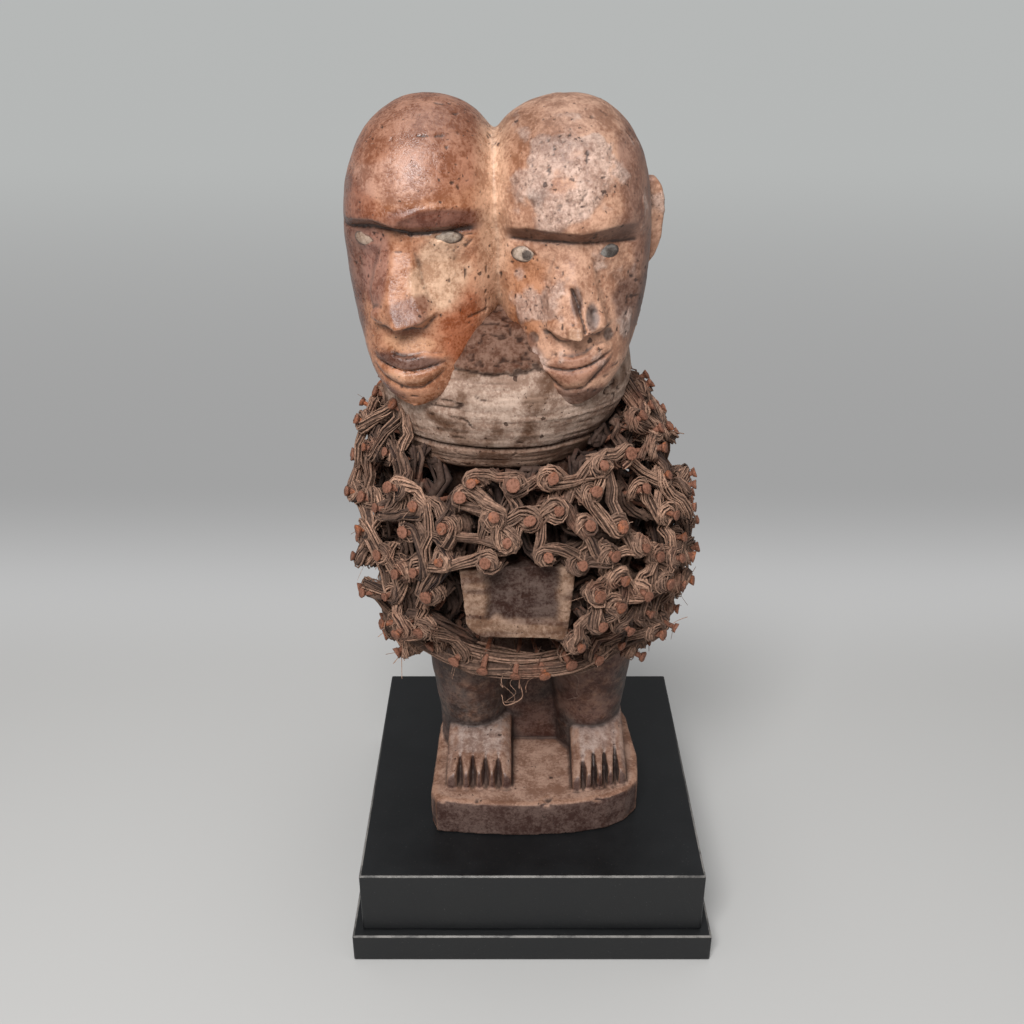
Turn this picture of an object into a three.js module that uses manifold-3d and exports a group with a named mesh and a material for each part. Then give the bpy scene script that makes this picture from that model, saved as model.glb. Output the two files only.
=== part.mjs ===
// A two-headed power figure carved from one block of hardwood. Its body is
// bound in iron nails and fibre cord, a medicine box sits on the belly, and it
// stands on a black stepped plinth. Millimetres, +Z up, the faces look along
// -Y. The origin is the centre of the plinth's underside.
import * as THREE from "three";
import { mergeVertices } from "three/addons/utils/BufferGeometryUtils.js";
import Module from "manifold-3d";

const wasm = await Module();
wasm.setup();
const degrees = THREE.MathUtils.degToRad;

// Plinth and figure as a whole.
const PLINTH_BLOCK_WIDTH = 212;
const PLINTH_BLOCK_HEIGHT = 44;
const PLINTH_SLAB_WIDTH = 224;
const PLINTH_SLAB_HEIGHT = 20;
const FIGURE_HEIGHT = 440;
const CLEARANCE = 0.3; // gap kept between pieces that touch

const STAND_TOP = PLINTH_SLAB_HEIGHT + PLINTH_BLOCK_HEIGHT;

// The carved ground under the feet. Heights from here on are above the plinth.
const GROUND_THICKNESS = 25.6;
const GROUND_LEFT = -64;
const GROUND_RIGHT = 71;
const GROUND_FRONT = -69;
const GROUND_BACK = 60;

// Legs and feet.
const LEG_X = 38;
const LEG_Y = 6;
const ANKLE_RADIUS = 22;
const ANKLE_HEIGHT = 46;
const THIGH_RADIUS = 28;
const THIGH_HEIGHT = 84;
const LEG_TOP = 130;
const LEFT_FOOT = { inner: -13, outer: -54, innerToe: -55, outerToe: -55, slot: 3.6, slit: 20 };
const RIGHT_FOOT = { inner: 26, outer: 61, innerToe: -58, outerToe: -50, slot: 2.2, slit: 32 };
const HEEL_Y = 42;
const TOE_HEIGHT = 12;
const INSTEP_HEIGHT = 22;
const TOE_SLOTS = 4;

// Torso and neck. Above the waist the whole body drifts to the left.
const AXIS_X = -5;
const AXIS_DRIFT = -12;
const DRIFT_FROM = 195;
const DRIFT_TO = 290;
const TORSO_RADIUS = 48;
const TORSO_WIDE = 1.04; // width over depth
const HIP_RADIUS = 55;
const TORSO_LOW = 116;
const HIP_TOP = 142;
const WAIST = 156;
const NECK_BOTTOM = 250;
const NECK_BOTTOM_RADIUS = 54;
const NECK_X_LOW = -20; // the neck leans back to the right as it rises
const NECK_X_RIM = -15.5;
const NECK_Y = -5;
const NECK_RIM = 294;
const NECK_RIM_RADIUS = 71;

// Heads. Heights in a head's own frame run from the chin up to the crown.
const CROWN = 73;
const WIDEST = 11;
const CHIN = -78.5;
const HEAD_HALF_WIDTH = 42.8;
const HEAD_FRONT = 52;
const HEAD_BACK = 50;
const HEAD_CENTRE = FIGURE_HEIGHT - CROWN;
// chinX is how far the jaw swings aside, and full how much the crown bulges to
// the left. An eye is at x, z and has half sizes.
const LEFT_HEAD = {
  ...{ x: -57, y: -17, turn: -15, lean: 2.5, ear: -1, earWidth: 7, chinX: 7, full: 0 },
  ...{ brow: 17, noseEnd: -34, mouth: -56.5 },
  leftEye: { x: -22, z: 6, wide: 7, high: 3.8 },
  rightEye: { x: 22, z: 11, wide: 7.5, high: 3.4 },
};
const RIGHT_HEAD = {
  ...{ x: 18.5, y: -17, turn: 1, lean: -3, ear: 1, earWidth: 11.5, chinX: -2, full: 9 },
  ...{ brow: 14.5, noseEnd: -38.5, mouth: -55 },
  leftEye: { x: -25.5, z: 1.5, wide: 7, high: 4.4 },
  rightEye: { x: 17, z: 1.8, wide: 5.6, high: 3.7 },
};
const FACE_RECESS = 8.5; // how far the eye band lies behind the brow
const NOSE_RADIUS = 16;
const LIP_HALF_WIDTH = 18;

// Nails stand in rows round the body, with their heads on a barrel.
const ROW_HEIGHTS = [136, 160, 186, 212, 240, 265];
const NAILS_PER_ROW = 15;
const COLUMNS_PER_CORD = 3;
const BARREL_RADIUS = 105;
const BARREL_MIDDLE = 182;
const BARREL_REACH_DOWN = 88; // from the barrel's middle to where it would close
const BARREL_REACH_UP = 122;
const NAIL_DIP = -0.2; // slope of the lowest nails, rise over run
const NAIL_RISE = 0.5; // slope of the highest nails
const SHANK_RADIUS = 2;
const NAIL_HEAD_RADIUS = 3.4;
const NAIL_HEAD_THICKNESS = 1.8;
const CORD_WIDTH = 15;
const CORD_THICKNESS = 9;
const CORD_DEPTH = 9; // from the top of a nail head to the middle of its cord
const CORD_LONGEST_RUN = 60; // a cord doesn't run on where the next nails are further
const FREE_NAIL_HEIGHTS = [173, 225]; // nails between the cords
const FREE_NAILS_PER_ROW = 6;
const FREE_NAIL_SWING = degrees(18); // turned away from the front

// The medicine box.
const BOX_X = -9.5;
const BOX_FRONT = -90;
const BOX_TOP_WIDTH = 63;
const BOX_FOOT_WIDTH = 55;
const BOX_LOW = 162;
const BOX_HIGH = 206;
const BOX_BORDER = 13;
const BOX_RECESS = 2;

// Colours and finishes.
const paint = (color, roughness, metalness = 0) =>
  new THREE.MeshStandardMaterial({ color, roughness, metalness });
const BLACK_PAINT = paint(0x17191a, 0.45);
const CARVED_WOOD = paint(0x7a4e38, 0.5);
const BOX_WOOD = paint(0x6f5a48, 0.7);
const EYE_GLASS = paint(0x9a978c, 0.2);
const RUSTED_IRON = paint(0x6e3f2a, 0.9, 0.3);
const FIBRE_CORD = paint(0x6b4a3a, 0.95);

const clamp01 = (value) => Math.min(1, Math.max(0, value));
const smooth = (low, high, value) => {
  const t = clamp01((value - low) / (high - low));
  return t * t * (3 - 2 * t);
};
// A repeatable number from -1 to 1.
const scatter = (a, b) => {
  const raw = Math.sin(a * 12.9898 + b * 78.233) * 43758.5453;
  return 2 * (raw - Math.floor(raw)) - 1;
};
const axisX = (height) => AXIS_X + AXIS_DRIFT * smooth(DRIFT_FROM, DRIFT_TO, height);

// A closed three.js geometry as a solid, and a solid as a flat-shaded geometry.
function solid(geometry) {
  const bare = new THREE.BufferGeometry();
  bare.setAttribute("position", geometry.getAttribute("position"));
  bare.setIndex(geometry.index);
  const merged = mergeVertices(bare, 1e-4);
  return new wasm.Manifold(
    new wasm.Mesh({
      numProp: 3,
      vertProperties: new Float32Array(merged.getAttribute("position").array),
      triVerts: new Uint32Array(merged.index.array),
    }),
  );
}

function geometryOf(manifold) {
  const made = manifold.getMesh();
  const geometry = new THREE.BufferGeometry();
  const points = new Float32Array(made.vertProperties);
  geometry.setAttribute("position", new THREE.BufferAttribute(points, 3));
  geometry.setIndex(new THREE.BufferAttribute(new Uint32Array(made.triVerts), 1));
  const flat = geometry.toNonIndexed();
  flat.computeVertexNormals();
  return flat;
}

const join = (solids) => solids.reduce((whole, next) => whole.add(next));
const cut = (whole, tools) => tools.reduce((rest, tool) => rest.subtract(tool), whole);

// Moves every point of a geometry by a function of x, y and z.
function reshape(geometry, move) {
  const place = geometry.getAttribute("position");
  for (let i = 0; i < place.count; i++) {
    place.setXYZ(i, ...move(place.getX(i), place.getY(i), place.getZ(i)));
  }
  return geometry;
}

// Turns a profile of [radius, height] about an axis that drifts as it rises.
function turnedBody(profile, sides, { axis = axisX, y = 0, wide = 1, deep = 1 } = {}) {
  const points = profile.map(([radius, height]) => new THREE.Vector2(radius, height));
  const geometry = new THREE.LatheGeometry(points, sides);
  geometry.rotateX(Math.PI / 2);
  return reshape(geometry, (px, py, height) => [
    px * wide + axis(height),
    py * deep + y,
    height + STAND_TOP,
  ]);
}

// Plinth: an upper block on a wider foot slab, turned with four sides.
function plinth() {
  const block = PLINTH_BLOCK_WIDTH / 2;
  const slab = PLINTH_SLAB_WIDTH / 2;
  const profile = [
    [0, 0],
    [slab, 0],
    [slab, PLINTH_SLAB_HEIGHT],
    [block, PLINTH_SLAB_HEIGHT],
    [block, STAND_TOP],
    [0, STAND_TOP],
  ].map(([radius, height]) => new THREE.Vector2(radius * Math.SQRT2, height));
  return new THREE.LatheGeometry(profile, 4, Math.PI / 4).rotateX(Math.PI / 2);
}

// Ground slab: its right front corner is worn away and its back is narrower.
function ground() {
  const taper = 6;
  const outline = new THREE.Shape();
  outline.moveTo(GROUND_LEFT + 9, GROUND_FRONT + 4);
  outline.quadraticCurveTo(0, GROUND_FRONT - 4, GROUND_RIGHT - 23, GROUND_FRONT + 5);
  outline.quadraticCurveTo(GROUND_RIGHT - 3, GROUND_FRONT + 14, GROUND_RIGHT - 1, GROUND_FRONT + 25);
  outline.lineTo(GROUND_RIGHT, GROUND_FRONT + 46);
  outline.lineTo(GROUND_RIGHT - taper - 4, GROUND_BACK - 18);
  outline.quadraticCurveTo(GROUND_RIGHT - 14, GROUND_BACK, GROUND_RIGHT - 34, GROUND_BACK);
  outline.lineTo(GROUND_LEFT + 28, GROUND_BACK);
  outline.quadraticCurveTo(GROUND_LEFT + taper, GROUND_BACK, GROUND_LEFT + taper, GROUND_BACK - 18);
  outline.lineTo(GROUND_LEFT, GROUND_FRONT + 12);
  const slab = new THREE.ExtrudeGeometry(outline, {
    depth: GROUND_THICKNESS - CLEARANCE,
    bevelEnabled: false,
    curveSegments: 4,
  });
  return slab.translate(0, 0, STAND_TOP + CLEARANCE);
}

// Foot: its plan, cut by its side view, which rises from the toes to the ankle.
function foot({ inner, outer, innerToe, outerToe }) {
  const rootDepth = 3;
  const plan = new THREE.Shape();
  plan.moveTo(inner, innerToe);
  plan.lineTo(inner, HEEL_Y);
  plan.lineTo(outer, HEEL_Y);
  plan.lineTo(outer, outerToe);
  const block = new THREE.ExtrudeGeometry(plan, {
    depth: INSTEP_HEIGHT + rootDepth,
    bevelEnabled: false,
  });
  block.translate(0, 0, STAND_TOP + GROUND_THICKNESS - rootDepth);

  const toe = Math.min(innerToe, outerToe) - 2;
  const side = new THREE.Shape();
  side.moveTo(toe, -rootDepth - 1);
  side.lineTo(toe, TOE_HEIGHT - 2);
  side.lineTo(toe + 8, TOE_HEIGHT + 1);
  side.lineTo(toe + 36, INSTEP_HEIGHT);
  side.lineTo(HEEL_Y + 1, INSTEP_HEIGHT);
  side.lineTo(HEEL_Y + 1, -rootDepth - 1);
  const span = 80;
  const mould = new THREE.ExtrudeGeometry(side, { depth: span, bevelEnabled: false });
  mould.rotateX(Math.PI / 2);
  mould.rotateZ(Math.PI / 2);
  mould.translate((inner + outer) / 2 - span / 2, 0, STAND_TOP + GROUND_THICKNESS);
  return solid(block).intersect(solid(mould));
}

// Wedge-shaped slots between the toes, widest in front.
function toeSlots({ inner, outer, innerToe, outerToe, slot, slit }) {
  return Array.from({ length: TOE_SLOTS }, (_, i) => {
    const share = (i + 1) / (TOE_SLOTS + 1);
    const wedge = new THREE.ConeGeometry(slot, slit, 4);
    wedge.scale(1, 1, (TOE_HEIGHT + 4) / slot);
    wedge.translate(
      inner + (outer - inner) * share,
      innerToe + (outerToe - innerToe) * share + slit / 2 - 2,
      STAND_TOP + GROUND_THICKNESS + TOE_HEIGHT + 3,
    );
    return solid(wedge);
  });
}

function leg(x) {
  const profile = [
    [0, 10],
    [ANKLE_RADIUS, 10],
    [ANKLE_RADIUS, ANKLE_HEIGHT],
    [THIGH_RADIUS - 1, THIGH_HEIGHT],
    [THIGH_RADIUS, LEG_TOP - 20],
    [THIGH_RADIUS - 5, LEG_TOP],
    [0, LEG_TOP],
  ].map(([radius, height]) => new THREE.Vector2(radius, height));
  const limb = new THREE.LatheGeometry(profile, 12).rotateX(Math.PI / 2);
  return limb.scale(1, 1.15, 1).translate(x, LEG_Y, STAND_TOP);
}

// The wood left standing between the legs, set back from the shins.
function legWeb() {
  const front = -4;
  const back = 30;
  const web = new THREE.BoxGeometry(2 * LEG_X, back - front, LEG_TOP - 10);
  return web.translate(0, (front + back) / 2, STAND_TOP + (LEG_TOP + 10) / 2);
}

function torso() {
  return turnedBody(
    [
      [0, TORSO_LOW - 8],
      [HIP_RADIUS - 8, TORSO_LOW - 8],
      [HIP_RADIUS, TORSO_LOW],
      [HIP_RADIUS - 1, HIP_TOP],
      [TORSO_RADIUS, WAIST],
      [TORSO_RADIUS - 3, DRIFT_FROM + 20],
      [TORSO_RADIUS - 3, NECK_BOTTOM + 2],
      [0, NECK_BOTTOM + 2],
    ],
    12,
    { wide: TORSO_WIDE },
  );
}

const neckX = (height) =>
  NECK_X_LOW + (NECK_X_RIM - NECK_X_LOW) * smooth(NECK_BOTTOM, NECK_RIM, height);

// Neck: a bowl that widens to a rim under the chins, then closes over.
function neck() {
  return turnedBody(
    [
      [0, NECK_BOTTOM - 3],
      [NECK_BOTTOM_RADIUS - 6, NECK_BOTTOM - 3],
      [NECK_BOTTOM_RADIUS, NECK_BOTTOM],
      [NECK_BOTTOM_RADIUS + 5, NECK_BOTTOM + 8],
      [NECK_RIM_RADIUS - 6, NECK_BOTTOM + 17],
      [NECK_RIM_RADIUS - 1, NECK_BOTTOM + 31],
      [NECK_RIM_RADIUS, NECK_RIM],
      [NECK_RIM_RADIUS - 3, NECK_RIM + 16],
      [NECK_RIM_RADIUS - 20, NECK_RIM + 34],
      [0, NECK_RIM + 46],
    ],
    20,
    { axis: neckX, y: NECK_Y, deep: 0.86 },
  );
}

// The bare head at a height: its half width, and how far its front and back are.
function headSection(z) {
  if (z > WIDEST) {
    const rise = (z - WIDEST) / (CROWN - WIDEST);
    const round = Math.max(0, 1 - rise ** 2.4) ** 0.45;
    return { half: HEAD_HALF_WIDTH * round, front: HEAD_FRONT * round, back: HEAD_BACK * round };
  }
  const fall = (WIDEST - z) / (WIDEST - CHIN);
  const front = HEAD_FRONT - 5 * fall - 4 * fall ** 6;
  const depth = (HEAD_FRONT + HEAD_BACK) * Math.max(0, 1 - fall ** 2.6) ** 0.6;
  return {
    half: HEAD_HALF_WIDTH * Math.max(0, 1 - fall ** 2.4) ** 0.55,
    front,
    back: depth - front,
  };
}

// Where the middle of the face is at a height: the jaw swings to one side.
const middleX = (z, { chinX }) => chinX * clamp01((WIDEST - z) / (WIDEST - CHIN)) ** 2.5;

// The eye band is cut back under the brow, and comes forward again at the mouth.
function faceRecess(x, z, { brow, mouth }) {
  const belowBrow = 1 - smooth(brow - 2, brow + 1, z);
  const aboveMouth = smooth(mouth + 4, brow - 12, z);
  const inside = 1 - smooth(HEAD_HALF_WIDTH - 12, HEAD_HALF_WIDTH - 2, Math.abs(x));
  return FACE_RECESS * belowBrow * aboveMouth * inside;
}

const HEAD_SIDES = 24;
const CROWN_RINGS = 5;
const FACE_RINGS = 9;
const HEAD_RINGS = CROWN_RINGS + 1 + FACE_RINGS;
// Rings follow the crown's curve down to the brow, then the face to the chin.
function ringHeight(ring, brow) {
  const browTop = brow + 1.5;
  const browFoot = brow - 2;
  if (ring <= CROWN_RINGS) {
    return browTop + (CROWN - browTop) * Math.cos(((ring / CROWN_RINGS) * Math.PI) / 2);
  }
  const down = (ring - CROWN_RINGS - 1) / FACE_RINGS;
  return browFoot - (browFoot - CHIN) * Math.sin((down * Math.PI) / 2);
}

// Bare head with its brow: a sphere whose rings and sides are placed anew.
function skull(head) {
  const shape = new THREE.SphereGeometry(1, HEAD_SIDES, HEAD_RINGS);
  const place = shape.getAttribute("position");
  const uv = shape.getAttribute("uv");
  for (let i = 0; i < place.count; i++) {
    const z = ringHeight(Math.round((1 - uv.getY(i)) * HEAD_RINGS), head.brow);
    const round = (uv.getX(i) - 0.5) * 2 * Math.PI;
    const turn = round - 0.35 * Math.sin(round);
    const { half, front, back } = headSection(z);
    const aside = Math.sin(turn);
    const rise = clamp01((z - WIDEST) / (CROWN - WIDEST));
    const x = half * aside * (1 + (aside < 0 ? (head.full * rise) / HEAD_HALF_WIDTH : 0));
    const facing = smooth(0.1, 0.5, Math.cos(turn));
    const y = (back - front) / 2 - ((back + front) / 2) * Math.cos(turn);
    place.setXYZ(i, x + middleX(z, head), y + facing * faceRecess(x, z, head), z);
  }
  return shape;
}

// Front of the bare face at a height, as a distance from the head's axis.
const faceFront = (z) => headSection(z).front;

// Front of the eye band beside the nose.
function faceY(x, z, head) {
  const { half, front, back } = headSection(z);
  const away = Math.sqrt(1 - ((x - middleX(z, head)) / half) ** 2);
  return (back - front) / 2 - ((back + front) / 2) * away + faceRecess(x, z, head);
}

// Nose: a keeled cone with its point under the brow and its base cut level.
function nose(head) {
  const { brow, noseEnd } = head;
  const length = brow - noseEnd;
  const blade = new THREE.ConeGeometry(NOSE_RADIUS, length, 8);
  blade.rotateX(Math.PI / 2);
  blade.translate(0, 0, noseEnd + length / 2);
  return reshape(blade, (x, y, z) => {
    const down = (brow - z) / length;
    return [x + middleX(z, head), y - faceFront(noseEnd) + 14 - 9 * down, z];
  });
}

function ball(wide, deep, high, x, y, z, sides = 6, rings = 4) {
  const shape = new THREE.SphereGeometry(1, sides, rings).rotateX(Math.PI / 2);
  return shape.scale(wide, deep, high).translate(x, y, z);
}

// Lip: a long bead bent round the face, with its ends turned up.
function lip(z, high, rise) {
  const bead = ball(LIP_HALF_WIDTH, 7, high, 0, 0, 0, 10, 4);
  return reshape(bead, (x, y, up) => {
    const out = (x / LIP_HALF_WIDTH) ** 2;
    return [x, y + 8 * out - faceFront(z) + 1.5, up + z + rise * out];
  });
}

function noseAndMouth(head) {
  const { noseEnd, mouth } = head;
  const noseX = middleX(noseEnd, head);
  const noseY = -faceFront(noseEnd);
  const jawX = middleX(mouth, head);
  const chinZ = CHIN + 9;
  return [
    nose(head),
    ball(6.5, 7.5, 6, noseX - 9.5, noseY + 1, noseEnd + 4),
    ball(6.5, 7.5, 6, noseX + 9.5, noseY + 1, noseEnd + 4),
    lip(mouth + 4, 3.6, 3.5).translate(jawX, 0, 0),
    lip(mouth - 4, 4, 4).scale(0.86, 1, 1).translate(jawX, 0, 0),
    ball(11, 7, 5.5, middleX(chinZ, head), -faceFront(chinZ) + 4, chinZ),
  ];
}

// Ear: a flat rounded plate that stands off the side of the head.
function ear({ ear: side, earWidth }) {
  const outline = new THREE.Shape();
  outline.moveTo(-8, 24);
  outline.lineTo(earWidth - 4, 23);
  outline.quadraticCurveTo(earWidth, 21, earWidth, 6);
  outline.quadraticCurveTo(earWidth, -12, earWidth - 9, -23);
  outline.lineTo(-8, -23);
  const plate = new THREE.ExtrudeGeometry(outline, {
    depth: 12,
    bevelEnabled: false,
    curveSegments: 3,
  });
  plate.rotateX(Math.PI / 2);
  plate.translate(HEAD_HALF_WIDTH - 3, 18, 5);
  return side > 0 ? plate : plate.rotateZ(Math.PI).translate(0, 24, 0);
}

// Eye: a lens set in the face, turned outwards a little.
function eye(head, side, swell) {
  const { x, z, wide, high } = side < 0 ? head.leftEye : head.rightEye;
  const lens = ball(wide + swell, 3.2 + swell, high + swell, 0, 0, 0);
  return lens.rotateZ(side * degrees(22)).translate(x, faceY(x, z, head) + 0.8, z);
}

// Places a geometry made in a head's own frame on the figure.
function onHead(geometry, { x, y, turn, lean }) {
  geometry.rotateY(degrees(lean));
  geometry.rotateZ(degrees(turn));
  return geometry.translate(x, y, STAND_TOP + HEAD_CENTRE);
}

const eyeSockets = (head) =>
  [-1, 1].map((side) => solid(onHead(eye(head, side, CLEARANCE), head)));

function headSolid(head) {
  const pieces = [skull(head), ear(head), ...noseAndMouth(head)];
  return join(pieces.map((piece) => solid(onHead(piece, head))));
}

function carvedFigure() {
  const body = join([
    solid(ground()),
    foot(LEFT_FOOT),
    foot(RIGHT_FOOT),
    solid(leg(-LEG_X)),
    solid(leg(LEG_X)),
    solid(legWeb()),
    solid(torso()),
    solid(neck()),
    headSolid(LEFT_HEAD),
    headSolid(RIGHT_HEAD),
  ]);
  return cut(body, [
    ...toeSlots(LEFT_FOOT),
    ...toeSlots(RIGHT_FOOT),
    ...eyeSockets(LEFT_HEAD),
    ...eyeSockets(RIGHT_HEAD),
  ]);
}

// The shallow hollow in the front of the box, with rounded corners.
function pocket() {
  const half = BOX_TOP_WIDTH / 2 - BOX_BORDER;
  const low = BOX_LOW + BOX_BORDER - 2;
  const high = BOX_HIGH - BOX_BORDER + 4;
  const corner = 8;
  const outline = new THREE.Shape();
  outline.moveTo(-half + corner, low);
  outline.quadraticCurveTo(half, low, half, low + corner);
  outline.lineTo(half, high - corner / 2);
  outline.lineTo(half - corner / 2, high);
  outline.lineTo(-half + corner / 2, high);
  outline.lineTo(-half, high - corner / 2);
  outline.lineTo(-half, low + corner);
  outline.quadraticCurveTo(-half, low, -half + corner, low);
  const hollow = new THREE.ExtrudeGeometry(outline, {
    depth: 2 * BOX_RECESS,
    bevelEnabled: false,
    curveSegments: 3,
  });
  return hollow.rotateX(Math.PI / 2).translate(BOX_X, BOX_FRONT + BOX_RECESS, STAND_TOP);
}

// Box: wider at the top, its front hollowed, its back fitted to the belly.
function bellyBox(figure) {
  const top = BOX_TOP_WIDTH / 2;
  const foot = BOX_FOOT_WIDTH / 2;
  const front = new THREE.Shape();
  front.moveTo(-foot + 9, BOX_LOW);
  front.lineTo(foot, BOX_LOW);
  front.lineTo(top, BOX_HIGH);
  front.lineTo(-top, BOX_HIGH);
  front.lineTo(-foot, BOX_LOW + 10);
  front.quadraticCurveTo(-foot + 1, BOX_LOW + 2, -foot + 9, BOX_LOW);
  const depth = 60;
  const block = new THREE.ExtrudeGeometry(front, {
    depth,
    bevelEnabled: false,
    curveSegments: 3,
  });
  block.rotateX(Math.PI / 2);
  block.translate(BOX_X, BOX_FRONT + depth, STAND_TOP);
  const bed = turnedBody(
    [
      [0, BOX_LOW - 40],
      [HIP_RADIUS + CLEARANCE, BOX_LOW - 40],
      [TORSO_RADIUS + CLEARANCE, WAIST],
      [TORSO_RADIUS + CLEARANCE, BOX_HIGH + 10],
      [0, BOX_HIGH + 10],
    ],
    20,
    { wide: TORSO_WIDE + 0.01 },
  );
  return cut(solid(block), [solid(pocket()), solid(bed), figure]);
}

// Radius of the barrel of nail heads at a height.
function barrelRadius(height) {
  const reach = height < BARREL_MIDDLE ? BARREL_REACH_DOWN : BARREL_REACH_UP;
  const away = Math.min(0.98, Math.abs(height - BARREL_MIDDLE) / reach);
  return BARREL_RADIUS * (1 - away ** 2.5) ** 0.4;
}

// Radius of what a nail of a height is driven into: hips, torso or neck.
function bodyRadius(height) {
  if (height < (HIP_TOP + WAIST) / 2) return HIP_RADIUS;
  return height < NECK_BOTTOM ? TORSO_RADIUS : NECK_BOTTOM_RADIUS + 3;
}

// Where a nail's head is and which way the nail points, at a turn round the
// body from its front and a height.
function nailAt(turn, height) {
  const angle = turn - Math.PI / 2;
  const share = (height - ROW_HEIGHTS[0]) / (ROW_HEIGHTS.at(-1) - ROW_HEIGHTS[0]);
  const slope = NAIL_DIP + (NAIL_RISE - NAIL_DIP) * share;
  const direction = new THREE.Vector3(Math.cos(angle), Math.sin(angle), slope).normalize();
  const radius = barrelRadius(height);
  const head = new THREE.Vector3(
    axisX(height) + radius * Math.cos(angle),
    radius * Math.sin(angle),
    STAND_TOP + height,
  );
  const run = radius - bodyRadius(height) * TORSO_WIDE - 3;
  const length = run * Math.hypot(1, slope);
  return { head, direction, length };
}

const nailPoint = ({ head, direction }, depth) => head.clone().addScaledVector(direction, -depth);

// Nail: a forged shank that tapers to its point, under a thick flat head.
function nail(placed) {
  const { head, direction, length } = placed;
  const profile = [
    [0, 0],
    [SHANK_RADIUS, length - NAIL_HEAD_THICKNESS],
    [NAIL_HEAD_RADIUS, length - 0.6],
    [0, length],
  ].map(([radius, along]) => new THREE.Vector2(radius, along - length));
  const turned = new THREE.LatheGeometry(profile, 5);
  turned.applyQuaternion(
    new THREE.Quaternion().setFromUnitVectors(new THREE.Vector3(0, 1, 0), direction),
  );
  return solid(turned.translate(head.x, head.y, head.z));
}

// Cord: a flat four-sided hank, its rings moved to the points it is wound round.
function cord(points) {
  const lengths = points.length - 1;
  const hank = new THREE.CylinderGeometry(1, 1, lengths, 4, lengths);
  return solid(
    reshape(hank, (x, along, z) => {
      const i = Math.round(along + lengths / 2);
      const point = points[i];
      const run = points[Math.min(i + 1, lengths)].clone().sub(points[Math.max(i - 1, 0)]);
      const out = new THREE.Vector3(point.x - AXIS_X, point.y, 0).normalize();
      const across = run.cross(out).normalize();
      const moved = point.clone().addScaledVector(across, x * CORD_WIDTH / 2);
      return moved.addScaledVector(out, z * CORD_THICKNESS / 2).toArray();
    }),
  );
}

// A nail's turn from the front and its height, moved over or beside the box
// where the box is in its way, or null where there is no room for the nail.
function clearOfBox(turn, height) {
  const margin = 7;
  const limit = (edge) => Math.asin((edge - AXIS_X) / (TORSO_RADIUS * TORSO_WIDE + 2));
  const right = limit(BOX_X + BOX_TOP_WIDTH / 2 + 2);
  const left = limit(BOX_X - BOX_TOP_WIDTH / 2 - 2);
  const level = height > BOX_LOW - margin && height < BOX_HIGH + 2 * margin;
  if (!level || turn < left || turn > right) return { turn, height };
  if (height > BOX_HIGH) return { turn, height: BOX_HIGH + 2 * margin };
  if (turn > left / 2 && turn < right / 2) return null;
  return { turn: turn > 0 ? right : left, height };
}

// The nails of one cord: a zigzag between two rows over a few columns.
function nailsOfCord(lowRow, firstColumn) {
  const pitch = (2 * Math.PI) / NAILS_PER_ROW;
  const placed = [];
  for (let column = firstColumn; column < firstColumn + COLUMNS_PER_CORD; column++) {
    for (const row of [lowRow, lowRow + 1]) {
      const place = column + (row % 2 === 0 ? 0.5 : 1) + 0.1 * scatter(row, column);
      const fromFront = pitch * (place > NAILS_PER_ROW / 2 ? place - NAILS_PER_ROW : place);
      const height = ROW_HEIGHTS[row] + 2.5 * scatter(column, row);
      const clear = clearOfBox(fromFront, height);
      if (clear) placed.push(nailAt(clear.turn, clear.height));
    }
  }
  return placed;
}

// Nails joined by their cord, which runs on a little towards the next ones.
function boundNails(lowRow, firstColumn) {
  const placed = nailsOfCord(lowRow, firstColumn);
  const route = placed.map((each) => nailPoint(each, CORD_DEPTH));
  const ends = nailsOfCord(lowRow, (firstColumn + COLUMNS_PER_CORD) % NAILS_PER_ROW);
  const next = nailPoint(ends[0], CORD_DEPTH);
  const reach = route.at(-1).distanceTo(next);
  if (reach < CORD_LONGEST_RUN) route.push(next.lerp(route.at(-1), CORD_WIDTH / reach));
  return join([...placed.map(nail), cord(route)]);
}

function named(name, geometry, material) {
  const mesh = new THREE.Mesh(geometry, material);
  mesh.name = name;
  return mesh;
}

const group = new THREE.Group();
const figure = carvedFigure();
group.add(named("plinth", plinth(), BLACK_PAINT));
group.add(named("carved_figure", geometryOf(figure), CARVED_WOOD));
group.add(named("belly_box", geometryOf(bellyBox(figure)), BOX_WOOD));

for (const [name, head] of [["left_head", LEFT_HEAD], ["right_head", RIGHT_HEAD]]) {
  for (const [place, side] of [["left", -1], ["right", 1]]) {
    group.add(named(`${name}_${place}_eye`, onHead(eye(head, side, 0), head), EYE_GLASS));
  }
}

FREE_NAIL_HEIGHTS.forEach((height, row) => {
  for (let i = 0; i < FREE_NAILS_PER_ROW; i++) {
    const turn = ((i + 0.5) / FREE_NAILS_PER_ROW - 0.5) * 2 * Math.PI;
    const free = nail(nailAt(turn + Math.sign(turn) * FREE_NAIL_SWING, height));
    group.add(named(`nail_${row * FREE_NAILS_PER_ROW + i + 1}`, geometryOf(free), RUSTED_IRON));
  }
});

for (const [band, lowRow] of [["low", 0], ["middle", 2], ["high", 4]]) {
  for (let column = 0, count = 1; column < NAILS_PER_ROW; column += COLUMNS_PER_CORD, count++) {
    const bound = boundNails(lowRow, column);
    group.add(named(`bound_nails_${band}_${count}`, geometryOf(bound), FIBRE_CORD));
  }
}

export default group;
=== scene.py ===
# %% [markdown]
# A two-headed power figure, carved from one block of hardwood. Iron nails were
# driven into its body and bound together with plant-fibre cord, a small wooden
# box is set on the belly, and the whole work stands on a black stepped plinth.
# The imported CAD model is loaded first. It is the fixed frame: every piece made
# here is placed by the same millimetres as the solids it stands for.

# %% Load the frame
import itertools
import math

import bmesh
import bpy
import numpy as np
from mathutils import Matrix, Vector


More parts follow.
